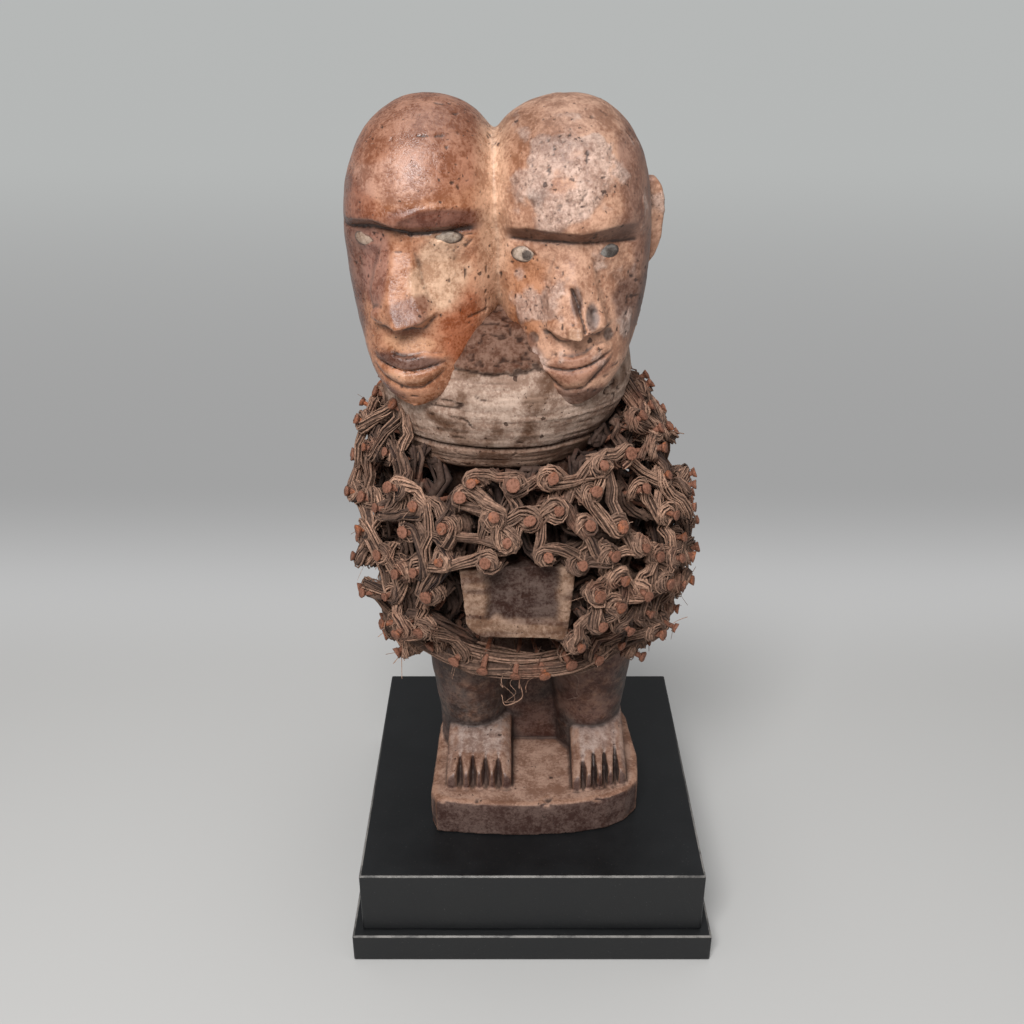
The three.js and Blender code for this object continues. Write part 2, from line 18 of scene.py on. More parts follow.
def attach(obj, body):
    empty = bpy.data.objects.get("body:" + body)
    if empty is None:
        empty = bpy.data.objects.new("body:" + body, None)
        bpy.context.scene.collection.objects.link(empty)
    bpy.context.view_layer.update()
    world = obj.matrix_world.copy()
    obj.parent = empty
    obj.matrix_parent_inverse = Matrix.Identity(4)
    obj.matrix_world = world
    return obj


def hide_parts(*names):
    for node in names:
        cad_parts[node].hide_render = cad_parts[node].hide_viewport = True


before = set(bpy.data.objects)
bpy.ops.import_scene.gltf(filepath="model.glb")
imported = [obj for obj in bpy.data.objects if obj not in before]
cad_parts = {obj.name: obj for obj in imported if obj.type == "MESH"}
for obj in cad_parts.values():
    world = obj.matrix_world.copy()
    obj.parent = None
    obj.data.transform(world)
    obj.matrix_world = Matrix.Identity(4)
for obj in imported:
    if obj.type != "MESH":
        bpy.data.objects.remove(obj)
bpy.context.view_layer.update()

MM = 0.001

# %% [markdown]
# The photograph looks down on the figure a little from the left of its middle.
# The camera was worked out from the plinth, whose four top corners are known,
# so it can be set before anything is modelled. Its lens follows from the angle
# of view, and it needs no shift.

# %% Camera
CAMERA_PLACE = (-0.0125, -0.6135, 0.5664)
CAMERA_PITCH = 26.57  # degrees below level
FOCAL_PIXELS = 1114
IMAGE_PIXELS = 1024
SENSOR = 36.0

lens = bpy.data.cameras.new("camera")
lens.sensor_width = SENSOR
lens.sensor_fit = "HORIZONTAL"
lens.lens = FOCAL_PIXELS / IMAGE_PIXELS * SENSOR
lens.clip_start = 0.01
camera = bpy.data.objects.new("camera", lens)
camera.location = CAMERA_PLACE
camera.rotation_euler = (math.radians(90 - CAMERA_PITCH), 0, 0)
bpy.context.scene.collection.objects.link(camera)
bpy.context.scene.camera = camera
print("lens", round(lens.lens, 2), "mm")

# %% [markdown]
# Old carved wood is never even: knife facets, pits, cracks and crust lie over
# the big forms. All of them are made here by moving many points at once with
# numpy, so the first helpers are a soft step, a soft bump and a smooth noise
# whose lumps have a size in millimetres.

# %% Helpers for shaping points
NOISE_CELLS = 48
LATTICE = np.random.default_rng(7).uniform(-1, 1, (NOISE_CELLS,) * 3)


def smooth(low, high, value):
    t = np.clip((value - low) / (high - low), 0, 1)
    return t * t * (3 - 2 * t)


def bump(distance, reach):
    """1 in the middle, falling softly to 0 at the reach."""
    return 1 - smooth(0, reach, np.abs(distance))


def noise(points, grain, shift=0.0):
    """Smooth lumps from -1 to 1, `grain` millimetres wide along each axis."""
    place = points / np.asarray(grain, float) + shift
    cell = np.floor(place).astype(int)
    part = place - cell
    part = part * part * (3 - 2 * part)
    value = np.zeros(len(points))
    for corner in itertools.product((0, 1), repeat=3):
        weight = np.prod(np.where(corner, part, 1 - part), axis=1)
        spot = (cell + corner) % NOISE_CELLS
        value += weight * LATTICE[spot[:, 0], spot[:, 1], spot[:, 2]]
    return value


def rough(points, grain, shift=0.0, layers=3):
    """Noise with finer noise on top of it."""
    total = sum(noise(points, np.asarray(grain) / 2**i, shift + 5.3 * i) / 2**i for i in range(layers))
    return total / 1.4


def soft_min(a, b, reach):
    """The smaller of two values, rounded where they cross."""
    share = np.clip(0.5 + 0.5 * (b - a) / reach, 0, 1)
    return b + (a - b) * share - reach * share * (1 - share)


print("noise runs from", LATTICE.min().round(2), "to", LATTICE.max().round(2))

# %% [markdown]
# Pieces are shaped in millimetres, as the CAD is, and scaled to metres once,
# when they are finished. These helpers read and write a mesh's points, make the
# plain forms that others are carved from, fuse closed shells into one skin with
# the voxel remesher, write colours and other values for every point, and hand a
# finished mesh over to the frame.

# %% Helpers for meshes
def read_points(mesh, what="vertices", key="co"):
    flat = np.empty(len(mesh.vertices) * 3)
    getattr(mesh, what).foreach_get(key, flat)
    return flat.reshape(-1, 3)


def read_normals(mesh):
    return read_points(mesh, "vertex_normals", "vector")


def write_points(mesh, points):
    mesh.vertices.foreach_set("co", np.ascontiguousarray(points).ravel())
    mesh.update()


def reshape(shell, move):
    """Moves all points of a bmesh by a function of an array of points."""
    points = move(np.array([vert.co[:] for vert in shell.verts]))
    for vert, point in zip(shell.verts, points):
        vert.co = point
    return shell


def mesh_of(shell, name):
    mesh = bpy.data.meshes.new(name)
    shell.to_mesh(mesh)
    shell.free()
    return mesh


def take_in(whole, mesh):
    """Adds a mesh to a bmesh and removes the mesh."""
    whole.from_mesh(mesh)
    bpy.data.meshes.remove(mesh)


def round_edges(shell, edges, offset, segments=3):
    settings = {"affect": "EDGES", "profile": 0.5, "material": -1}
    bmesh.ops.bevel(shell, geom=edges, offset=offset, segments=segments, **settings)


def plate(outline, along):
    """A closed plate: a flat outline and its copy moved along a line."""
    shell = bmesh.new()
    face = shell.faces.new([shell.verts.new(point) for point in outline])
    extruded = bmesh.ops.extrude_face_region(shell, geom=[face])
    moved = [item for item in extruded["geom"] if isinstance(item, bmesh.types.BMVert)]
    bmesh.ops.translate(shell, verts=moved, vec=along)
    bmesh.ops.recalc_face_normals(shell, faces=shell.faces)
    return shell


def block(size, middle):
    shell = bmesh.new()
    bmesh.ops.create_cube(shell, size=1)
    bmesh.ops.scale(shell, vec=size, verts=shell.verts)
    bmesh.ops.translate(shell, verts=shell.verts, vec=middle)
    return shell


def fine_cube(cuts):
    """A cube from -1 to 1 along each axis, cut into small square faces."""
    shell = bmesh.new()
    bmesh.ops.create_cube(shell, size=2)
    bmesh.ops.subdivide_edges(shell, edges=shell.edges[:], cuts=cuts, use_grid_fill=True)
    return shell


def fused(name, shells, voxel):
    """One closed skin round closed shells that overlap, in small even faces."""
    whole = bmesh.new()
    for shell in shells:
        take_in(whole, mesh_of(shell, "shell"))
    rough_mesh = mesh_of(whole, name + "_shells")
    holder = bpy.data.objects.new(name + "_shells", rough_mesh)
    bpy.context.scene.collection.objects.link(holder)
    remesh = holder.modifiers.new("fuse", "REMESH")
    remesh.mode = "VOXEL"
    remesh.voxel_size = voxel
    graph = bpy.context.evaluated_depsgraph_get()
    mesh = bpy.data.meshes.new_from_object(holder.evaluated_get(graph))
    mesh.name = name
    bpy.data.objects.remove(holder)
    bpy.data.meshes.remove(rough_mesh)
    return mesh


def neighbour_mean(mesh):
    """A function from points to the mean of the points next to each of them."""
    edges = np.empty(len(mesh.edges) * 2, int)
    mesh.edges.foreach_get("vertices", edges)
    a, b = edges.reshape(-1, 2).T
    some = len(mesh.vertices)
    count = np.bincount(a, minlength=some) + np.bincount(b, minlength=some)

    def mean_of(points):
        sums = [np.bincount(a, axis[b], some) + np.bincount(b, axis[a], some) for axis in points.T]
        return np.stack(sums, axis=1) / count[:, None]

    return mean_of


def hollows(mesh, rounds):
    """How deep each point lies under the mean of the points round it."""
    mean_of = neighbour_mean(mesh)
    points = read_points(mesh)
    mean = points
    for _ in range(rounds):
        mean = mean_of(mean)
    return np.einsum("ij,ij->i", mean - points, read_normals(mesh))


def write_value(mesh, name, values):
    """A number for each point, or one for all of them."""
    full = np.empty(len(mesh.vertices), np.float32)
    full[:] = values
    mesh.attributes.new(name, "FLOAT", "POINT").data.foreach_set("value", full)


def write_colour(mesh, name, colours):
    """A colour for each point, or one for all of them."""
    full = np.ones((len(mesh.vertices), 4), np.float32)
    full[:, :3] = colours
    mesh.attributes.new(name, "FLOAT_COLOR", "POINT").data.foreach_set("color", full.ravel())


def write_surface(mesh, tints, dirt_and_shade, gloss):
    """The attributes that the material of every carved piece reads."""
    write_colour(mesh, "tint", tints)
    write_value(mesh, "dirt_and_shade", dirt_and_shade)
    write_value(mesh, "gloss", gloss)


def finished(mesh, name, slot, material, *nodes):
    """Puts a mesh shaped in millimetres on the figure, in place of CAD nodes."""
    mesh.transform(Matrix.Scale(MM, 4))
    mesh.shade_smooth()
    mesh.materials.clear()
    mesh.materials.append(material)
    piece = bpy.data.objects.new(name, mesh)
    bpy.context.scene.collection.objects.link(piece)
    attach(piece, "root")
    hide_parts(*nodes)
    mesh.calc_loop_triangles()
    print(name, len(mesh.loop_triangles), "triangles")


# %% [markdown]
# Colours are written as the eye sees them and turned into light values. The
# wood keeps its colour per point in an attribute called tint, because the
# stains on the two heads are large patches with their own places. The tint also
# holds painted shade and highlights. Fine mottling, pores and bump come from
# shared node groups that read Object coordinates.

# %% Helpers for colours and materials
def colour(red, green, blue):
    """A colour from 0 to 255 as linear light."""
    value = np.array([red, green, blue]) / 255
    return np.where(value <= 0.04045, value / 12.92, ((value + 0.055) / 1.055) ** 2.4)


def paint(red, green, blue):
    """A colour from 0 to 255 as the four values of a colour socket."""
    return (*[float(part) for part in colour(red, green, blue)], 1.0)


def blend(base, over, share):
    """Lays a colour over one or many others, by a share per point."""
    return base + (np.asarray(over) - base) * np.clip(share, 0, 1)[:, None]


def layered(base, *layers):
    """A first colour with others laid over it, each by a share per point."""
    tints = colour(*base)
    for tone, share in layers:
        tints = blend(tints, colour(*tone), share)
    return tints


def new_group(name, inputs, outputs):
    """A node group with named inputs and outputs, each (name, kind, default)."""
    group = bpy.data.node_groups.new(name, "ShaderNodeTree")
    for label, kind, default in inputs:
        socket = group.interface.new_socket(label, in_out="INPUT", socket_type=kind)
        socket.default_value = default
    for label, kind in outputs:
        group.interface.new_socket(label, in_out="OUTPUT", socket_type=kind)
    return group, group.nodes.new("NodeGroupInput"), group.nodes.new("NodeGroupOutput")


class Nodes:
    """Short ways to add and link the nodes of one tree."""

    def __init__(self, tree):
        self.tree = tree

    def add(self, kind, **settings):
        node = self.tree.nodes.new(kind)
        for key, value in settings.items():
            setattr(node, key, value)
        return node

    def link(self, source, target):
        self.tree.links.new(source, target)

    def fill(self, node, values):
        for key, value in values.items():
            if isinstance(value, bpy.types.NodeSocket):
                self.link(value, node.inputs[key])
            else:
                node.inputs[key].default_value = value
        return node

    def math(self, operation, a, b, clamp=False):
        node = self.add("ShaderNodeMath", operation=operation, use_clamp=clamp)
        return self.fill(node, {0: a, 1: b}).outputs[0]

    def ramp(self, value, low, high, out_low=0.0, out_high=1.0):
        node = self.add("ShaderNodeMapRange", interpolation_type="SMOOTHSTEP")
        values = {"Value": value, "From Min": low, "From Max": high}
        return self.fill(node, {**values, "To Min": out_low, "To Max": out_high}).outputs[0]

    def mix(self, share, a, b, blend_type="MIX"):
        node = self.add("ShaderNodeMix", data_type="RGBA", blend_type=blend_type)
        return self.fill(node, {0: share, 6: a, 7: b}).outputs[2]

    def object_place(self):
        return self.add("ShaderNodeTexCoord").outputs["Object"]

    def shaken(self, place, scale, detail, reach):
        """A place pushed about by a fine noise."""
        push = self.add("ShaderNodeTexNoise")
        self.fill(push, {"Vector": place, "Scale": scale, "Detail": detail})
        moved = self.add("ShaderNodeVectorMath", operation="MULTIPLY_ADD")
        return self.fill(moved, {0: push.outputs["Color"], 1: (reach,) * 3, 2: place}).outputs[0]

    def cells(self, vector, size, feature="F1"):
        node = self.add("ShaderNodeTexVoronoi", feature=feature)
        return self.fill(node, {"Vector": vector, "Scale": size}).outputs

    def parts(self, tone):
        return self.fill(self.add("ShaderNodeSeparateColor"), {0: tone}).outputs

    def cloud(self, vector, scale, detail, roughness):
        node = self.add("ShaderNodeTexNoise")
        values = {"Vector": vector, "Scale": scale, "Detail": detail, "Roughness": roughness}
        return self.fill(node, values).outputs["Fac"]

    def attribute(self, name, output="Fac"):
        return self.add("ShaderNodeAttribute", attribute_name=name).outputs[output]

    def relief(self, shader, strength, distance, height):
        node = self.add("ShaderNodeBump")
        self.fill(node, {"Strength": strength, "Distance": distance, "Height": height})
        self.link(node.outputs[0], shader.inputs["Normal"])


def new_material(name):
    material = bpy.data.materials.new(name)
    material.use_nodes = True
    material.node_tree.nodes.clear()
    nodes = Nodes(material.node_tree)
    shader = nodes.add("ShaderNodeBsdfPrincipled")
    output = nodes.add("ShaderNodeOutputMaterial")
    nodes.link(shader.outputs[0], output.inputs[0])
    return material, nodes, shader


def use_group(nodes, group, **values):
    node = nodes.add("ShaderNodeGroup", node_tree=group)
    return nodes.fill(node, values)


print("mid brown in linear light:", colour(140, 105, 85).round(3))

# %% [markdown]
# Three effects are shared. Mottling varies a colour at two sizes, pores are the
# small dark dots of old wood, and crackle breaks a crust into flakes with gaps
# between them. All are node groups, so one edit reaches every wooden piece.

# %% Shared node groups
FLOAT = "NodeSocketFloat"
COLOUR = "NodeSocketColor"


def mottling():
    inputs = [("Colour", COLOUR, (0.5, 0.5, 0.5, 1)), ("Amount", FLOAT, 0.3), ("Size", FLOAT, 60.0)]
    group, given, result = new_group("mottling", inputs, [("Colour", COLOUR), ("Height", FLOAT)])
    nodes = Nodes(group)
    place = nodes.object_place()
    broad = nodes.cloud(place, given.outputs["Size"], 6.0, 0.68)
    fine = nodes.cloud(place, nodes.math("MULTIPLY", given.outputs["Size"], 7.0), 4.0, 0.7)
    both = nodes.math("ADD", nodes.math("MULTIPLY", broad, 0.6), nodes.math("MULTIPLY", fine, 0.4))
    share = nodes.ramp(both, 0.4, 0.6)
    dark = nodes.mix(1.0, given.outputs["Colour"], (0.42, 0.34, 0.3, 1), "MULTIPLY")
    light = nodes.mix(0.09, given.outputs["Colour"], (0.95, 0.84, 0.74, 1))
    varied = nodes.mix(share, dark, light)
    nodes.link(nodes.mix(given.outputs["Amount"], given.outputs["Colour"], varied), result.inputs["Colour"])
    nodes.link(both, result.inputs["Height"])
    return group


def pores():
    inputs = [("Size", FLOAT, 300.0), ("Share", FLOAT, 0.3)]
    group, given, result = new_group("pores", inputs, [("Mask", FLOAT)])
    nodes = Nodes(group)
    place = nodes.object_place()
    cells = nodes.cells(nodes.shaken(place, 500.0, 2.0, 0.003), given.outputs["Size"])
    chosen = nodes.parts(cells["Color"])
    size = nodes.math("MULTIPLY", chosen[1], 0.34)
    dot = nodes.ramp(nodes.math("SUBTRACT", size, cells["Distance"]), 0.0, 0.08)
    crowded = nodes.ramp(nodes.cloud(place, 50.0, 4.0, 0.6), 0.5, 0.6)
    share = nodes.math("MULTIPLY", given.outputs["Share"], nodes.math("ADD", crowded, 0.25))
    few = nodes.math("LESS_THAN", chosen[0], share)
    nodes.link(nodes.math("MULTIPLY", dot, few), result.inputs["Mask"])
    return group


def crackle():
    inputs = [("Size", FLOAT, 300.0)]
    group, given, result = new_group("crackle", inputs, [("Gap", FLOAT), ("Lift", FLOAT)])
    nodes = Nodes(group)
    place = nodes.shaken(nodes.object_place(), 260.0, 3.0, 0.014)
    gap = nodes.cells(place, given.outputs["Size"], "DISTANCE_TO_EDGE")["Distance"]
    nodes.link(nodes.ramp(gap, 0.0, 0.06, 1.0, 0.0), result.inputs["Gap"])
    flakes = nodes.cells(place, given.outputs["Size"])
    nodes.link(nodes.parts(flakes["Color"])[0], result.inputs["Lift"])
    return group


MOTTLING = mottling()
PORES = pores()
CRACKLE = crackle()
print("node groups:", [group.name for group in bpy.data.node_groups])

# %% [markdown]
# The carved wood comes in two finishes: handled for heads, legs and ground, and
# dry for neck, trunk and box. Both read the tint of each point, darken the
# hollows that an attribute marks, which is dirt and painted shade in creases and
# under the brows, break up the crust where a crust attribute asks for it, and
# let a gloss attribute run the roughness from oiled to dry.

# %% Carved wood
def carved_wood(name, specular):
    material, nodes, shader = new_material(name)
    tint = nodes.attribute("tint", "Color")
    mottled = use_group(nodes, MOTTLING, Colour=tint, Amount=0.8, Size=80.0)
    small = use_group(nodes, PORES, Size=520.0, Share=0.35).outputs["Mask"]
    large = use_group(nodes, PORES, Size=210.0, Share=0.16).outputs["Mask"]
    dots = nodes.math("MAXIMUM", small, large)
    dirt_and_shade = nodes.attribute("dirt_and_shade")
    crust = nodes.attribute("crust")
    flakes = use_group(nodes, CRACKLE, Size=380.0)
    torn = nodes.ramp(nodes.cloud(nodes.object_place(), 180.0, 4.0, 0.6), 0.42, 0.62)
    gaps = nodes.math("MULTIPLY", nodes.math("MULTIPLY", flakes.outputs["Gap"], crust), torn)
    # Marked hollows go dark: dirt, and painted shade in creases and under the brows.
    dark = nodes.mix(nodes.math("MULTIPLY", dirt_and_shade, 0.85), mottled.outputs["Colour"], paint(42, 24, 17))
    spotted = nodes.mix(nodes.math("MULTIPLY", dots, 0.8), dark, paint(50, 28, 20))
    flaked = nodes.mix(nodes.math("MULTIPLY", gaps, 0.45), spotted, paint(96, 60, 44))
    nodes.link(flaked, shader.inputs["Base Color"])
    dry = nodes.ramp(nodes.attribute("gloss"), 0.0, 1.0, 0.8, 0.3)
    spread = nodes.math("MULTIPLY", nodes.math("SUBTRACT", mottled.outputs["Height"], 0.5), 0.9)
    nodes.link(nodes.math("ADD", dry, spread, clamp=True), shader.inputs["Roughness"])
    height = nodes.math("SUBTRACT", mottled.outputs["Height"], nodes.math("MULTIPLY", dots, 0.6))
    lifted = nodes.math("SUBTRACT", nodes.math("MULTIPLY", flakes.outputs["Lift"], crust), gaps)
    height = nodes.math("ADD", height, nodes.math("MULTIPLY", lifted, 0.3))
    nodes.relief(shader, 0.7, 0.0014, height)
    shader.inputs["Specular IOR Level"].default_value = specular
    return material


CARVED_WOOD = carved_wood("carved_wood", 0.6)
DRY_WOOD = carved_wood("dry_wood", 0.2)
print("materials", CARVED_WOOD.name, DRY_WOOD.name)

# %% [markdown]
# Each head is one long egg. Its outline at every height comes from the same
# section as the CAD solid, so the piece fills the solid. The face is then
# carved as a height field: the eye band is cut back under a crisp brow, the nose
# is a wedge that stands out of it, and the lips are two low rolls with a knife
# line between them.

# %% Sizes of the heads
STAND_TOP = 64
HEAD_CENTRE = 367
CROWN = 73
WIDEST = 11
CHIN = -78.5
HALF_WIDTH = 42.8
FRONT = 52
BACK = 50
FACE_RECESS = 8.5
LIP_HALF_WIDTH = 19
LEFT_HEAD = {
    "x": -57, "y": -17, "turn": -15, "lean": 2.5, "chin_x": 7, "full": 0,
    "brow": 17, "nose_end": -34, "mouth": -56.5, "mouth_x": 5,
    "brow_ends": (-41, 38),
    "eyes": [(-1, -22, 6, 7, 3.8), (1, 22, 11, 7.5, 3.4)],
    "openings": [0.5, 0.5],
    "brow_line": ([-34, -12, 1, 15, 36], [14.7, 19.1, 15.7, 16.4, 17.7]),
    "groove_foot": ([-31, -16, 0, 6, 20, 32], [9.9, 13.4, 13.2, 12, 13.7, 14.6]),
    "ridge": ([-34, -25, -18, -8, 8, 16], [4, -0.5, -3.2, -3.5, -2, -1]),
    "nose_foot": ([-15, 3, 13, 19], [-32.6, -34.4, -31.5, -27.4]),
    "flanks": (1.05, 0.6),
    "wings": [(-6.5, 8.5, 5), (9, 6, 4.5)],
    "facet": ([1, 12, 22, 32], [19.3, 24.6, 26.4, 24.6]),
    "mouth_line": ([-14, 5, 14, 24], [-53.6, -56.7, -55, -52]),
    "lip_top": ([-13, -4, 4, 14, 24], [-49.4, -48.6, -49.8, -47.6, -48.6]),
    "lip_foot": ([-12, -7, 4.5, 13, 19, 24], [-58, -61.7, -65.2, -64.5, -59.8, -55]),
}
RIGHT_HEAD = {
    "x": 18.5, "y": -17, "turn": 1, "lean": -3, "chin_x": -2, "full": 9,
    "brow": 14.5, "nose_end": -38.5, "mouth": -55, "mouth_x": -1,
    "brow_ends": (-37, 35),
    "split": ([-36, -27, -20, -14], [3.2, 1.2, -0.6, -2.6]),
    "eyes": [(-1, -25.5, 1.5, 7, 4.4), (1, 17, 1.8, 5.6, 3.7)],
    "openings": [0.85, 0.8],
    "brow_line": ([-33, -22, -9, 4, 14, 24, 32], [14.9, 16.6, 15.0, 13.4, 14.8, 15.4, 14.1]),
    "groove_foot": ([-30, -9, 4, 28], [8.7, 8.1, 7.1, 4.7]),
    "ridge": ([-38, -20, 8], [0.5, -1.5, -1]),
    "nose_foot": ([-14, -7, 0, 14], [-36.5, -39, -38.5, -35]),
    "flanks": (0.85, 0.85),
    "wings": [(-7, 6.5, 6), (9, 5.5, 5.5)],
    "mouth_line": ([-19, -16, -5, 5, 15, 18], [-54.5, -55.3, -55.8, -53.9, -50, -49]),
    "lip_top": (
        [-19, -15, -10, -3.5, 3.4, 9, 13, 18],
        [-53.5, -52.2, -48.9, -49.5, -48.1, -44.9, -44.6, -47.5],
    ),
    "lip_foot": ([-19, -15, -8, 2, 9, 18], [-57, -60.6, -66.7, -65.4, -58.9, -51]),
}


def head_section(z):
    """Half width, front and back of the bare head at a height."""
    rise = np.clip((z - WIDEST) / (CROWN - WIDEST), 0, 1)
    round_off = (1 - rise**2.4) ** 0.45
    fall = np.clip((WIDEST - z) / (WIDEST - CHIN), 0, 1)
    jaw_front = FRONT - 5 * fall - 4 * fall**6
    depth = (FRONT + BACK) * (1 - fall**2.6) ** 0.6
    upper = z > WIDEST
    half = np.where(upper, HALF_WIDTH * round_off, HALF_WIDTH * (1 - fall**2.4) ** 0.55)
    front = np.where(upper, FRONT * round_off, jaw_front)
    back = np.where(upper, BACK * round_off, depth - jaw_front)
    return half, front, back


def middle_x(z, head):
    return head["chin_x"] * np.clip((WIDEST - z) / (WIDEST - CHIN), 0, 1) ** 2.5


print("head height", CROWN - CHIN, "mm, width", 2 * HALF_WIDTH, "mm")


# %% Carve a face
def knob(x, z, at_x, at_z, wide, high, base_y, deep):
    """Front of a rounded lump, far behind the face outside its outline."""
    away = ((x - at_x) / wide) ** 2 + ((z - at_z) / high) ** 2
    return base_y - deep * np.sqrt(np.clip(1 - away, 0, 1)) + 60 * np.clip(away - 1, 0, 1)


def line(x, curve):
    return np.interp(x, *curve)


def brow_reach(x, head):
    """1 along the brow, fading out at its two ends."""
    left_end, right_end = head["brow_ends"]
    return smooth(left_end, left_end + 7, x) * smooth(right_end, right_end - 7, x)


def carved_face(x, y, z, head):
    """Where the front of the face is once brow, nose and mouth are carved."""
    edge = sum(line(x + shift, head["brow_line"]) for shift in (-2.5, 0, 2.5)) / 3
    foot = line(x, head["groove_foot"])
    along = brow_reach(x, head)
    under = np.clip((edge + 0.3 - z) / (edge - foot), 0, 1)
    aside = 1 - smooth(HALF_WIDTH - 20, HALF_WIDTH - 2, np.abs(x - middle_x(z, head)))
    fade = smooth(head["mouth"] + 4, head["brow"] - 8, z)
    lid = smooth(foot + 0.3, foot - 0.9, z) * smooth(foot - 16, foot - 4, z)
    y = y + under * aside * FACE_RECESS * fade + along * (1.8 * under - 1.8 * lid)
    y = y - 0.8 * along * bump(z - edge - 3, 8) * (1 - under)
    if "facet" in head:
        crest = line(x, head["facet"])
        cut = np.clip((crest - z) / (crest - edge), 0, 1) * smooth(0, 2.5, x) * smooth(36, 31, x)
        y = y + 3.2 * cut * (1 - under) - 0.7 * bump(z - crest - 1, 2.5) * smooth(0, 4, x) * smooth(36, 30, x)
    for (_, eye_x, eye_z, wide, high), share in zip(head["eyes"], head["openings"]):
        across = (x - eye_x) / wide
        away = (z - eye_z) / (high * share)
        almond = np.abs(away) / np.maximum(1 - across**2, 0.02)
        opening = smooth(1.25, 0.9, almond) * (np.abs(across) < 1)
        rim = bump(np.hypot(across / 1.3, (z - eye_z) / (1.5 * high)), 1.2)
        y = y - 1.5 * rim * (1 - opening) + 0.9 * opening

    down = np.clip((head["brow"] - z) / (head["brow"] - head["nose_end"]), 0, 1)
    base_y = -head_section(np.array([head["nose_end"]]))[1][0]
    off = x - line(z, head["ridge"])
    slope = np.where(off < 0, *head["flanks"])
    spread = np.clip(np.abs(off) - 5 - 11 * down, 0, None)
    wedge = (0.35 + 0.65 * down) * slope * (np.hypot(off, 2.5) - 2.5)
    nose = base_y + 11 - 22 * down + wedge + 1.8 * spread
    tip = line(x, head["nose_foot"])
    nose = nose + 40 * (1 - smooth(tip - 1.5, tip + 1.5, z))
    nose = nose + 60 * smooth(head["brow"] - 3, head["brow"] + 3, z)
    for wing_x, wide, high in head["wings"]:
        wing_z = line(wing_x, head["nose_foot"]) + high - 1
        nose = soft_min(nose, knob(x, z, wing_x, wing_z, wide, high, base_y + 1.5, 3.6), 6.0)
    y = soft_min(y, nose, 2.8)
    if "split" in head:
        crack = np.exp(-(((x - line(z, head["split"])) / 1.3) ** 2))
        crack = crack * smooth(-37, -35, z) * smooth(-12, -16, z)
        facet = bump(np.hypot((x - 7) / 4, (z + 28) / 7), 1.2)
        stub = smooth(-6.4, -5.4, x) * smooth(2.2, 1.2, x)
        stub = stub * smooth(-38.4, -37.2, z) * smooth(-30.6, -31.8, z)
        y = y + 4.5 * crack + 2.2 * facet - 2.2 * stub
    y = y - 2.0 * bump(np.hypot((x - middle_x(CHIN + 9, head)) / 15, (z - CHIN - 9) / 9), 1.2)

    from_mouth = (x - head["mouth_x"]) / LIP_HALF_WIDTH
    across = np.clip(1 - from_mouth**2, 0, 1) ** 0.5
    parting = line(x, head["mouth_line"])
    top = line(x, head["lip_top"])
    low = line(x, head["lip_foot"])
    muzzle = 3.6 * bump(np.hypot(from_mouth, (z - head["mouth"] + 1) / 17), 1.25)
    upper = smooth(top + 0.4, top - 0.8, z) * smooth(parting - 0.4, parting + 0.4, z)
    share = np.clip((z - low) / (parting - low), 0, 1)
    lower = np.sin(np.pi * share) ** 0.6
    knife = np.exp(-(((z - parting) / 0.8) ** 2))
    crease = np.exp(-(((z - low + 1.5) / 1.3) ** 2))
    return y - muzzle - across * (2.6 * upper + 3.4 * lower - 2.6 * knife - 1.2 * crease)


def head_shell(head):
    """A sphere whose points are placed on the head and then carved."""
    shell = bmesh.new()
    bmesh.ops.create_uvsphere(shell, u_segments=300, v_segments=260, radius=1)

    def place(points):
        z = CHIN + (CROWN - CHIN) * (points[:, 2] + 1) / 2
        spun = np.arctan2(points[:, 0], -points[:, 1])
        turn = spun - 0.35 * np.sin(spun)
        half, front, back = head_section(z)
        boxy = 1 - 0.42 * smooth(0.55, 0.95, (WIDEST - z) / (WIDEST - CHIN))
        aside = np.sign(np.sin(turn)) * np.abs(np.sin(turn)) ** boxy
        ahead = np.sign(np.cos(turn)) * np.abs(np.cos(turn)) ** boxy
        rise = np.clip((z - WIDEST) / (CROWN - WIDEST), 0, 1)
        x = half * aside * (1 + np.where(aside < 0, head["full"] * rise / HALF_WIDTH, 0))
        x = x + middle_x(z, head)
        y = (back - front) / 2 - (back + front) / 2 * ahead
        facing = smooth(0.1, 0.5, np.cos(turn))
        y = y + facing * (carved_face(x, y, z, head) - y)
        return np.stack([x, y, z], axis=1)

    return reshape(shell, place)


def head_matrix(head):
    place = Matrix.Translation((head["x"], head["y"], STAND_TOP + HEAD_CENTRE))
    turn = Matrix.Rotation(math.radians(head["turn"]), 4, "Z")
    return place @ turn @ Matrix.Rotation(math.radians(head["lean"]), 4, "Y")


def on_head(shell, head):
    shell.transform(head_matrix(head))
    return shell


print("the heads are turned by", LEFT_HEAD["turn"], "and", RIGHT_HEAD["turn"], "degrees")

# %% [markdown]
# An ear is a flat rounded plate standing off the side of the head. Only the
# right head's right ear shows in the photograph. The outer edge of the other
# head has just a low stump, as in the solid.

# %% Ears
EAR_THICKNESS = 12


def ear_shell(side, width):
    """A plate with rounded corners, its side +1 or -1 of the head."""
    outline = [(-8, 24), (width - 4, 23), (width - 1, 18), (width, 6), (width - 1.5, -8)]
    outline += [(width - 5, -18), (width - 9, -23), (-8, -23)]
    shell = plate([(x, 0, z) for x, z in outline], (0, -EAR_THICKNESS, 0))
    round_edges(shell, shell.edges[:], 1.6)
    bmesh.ops.translate(shell, verts=shell.verts, vec=(HALF_WIDTH - 3, 18, 5))
    if side < 0:
        half_turn = Matrix.Rotation(math.pi, 3, "Z")
        bmesh.ops.rotate(shell, verts=shell.verts, cent=(0, 12, 0), matrix=half_turn)
    return shell


left_shells = [on_head(head_shell(LEFT_HEAD), LEFT_HEAD), on_head(ear_shell(-1, 7), LEFT_HEAD)]
right_shells = [on_head(head_shell(RIGHT_HEAD), RIGHT_HEAD), on_head(ear_shell(1, 11.5), RIGHT_HEAD)]
heads_mesh = fused("heads", left_shells + right_shells, 0.79)
print("heads fused:", len(heads_mesh.vertices), "points")
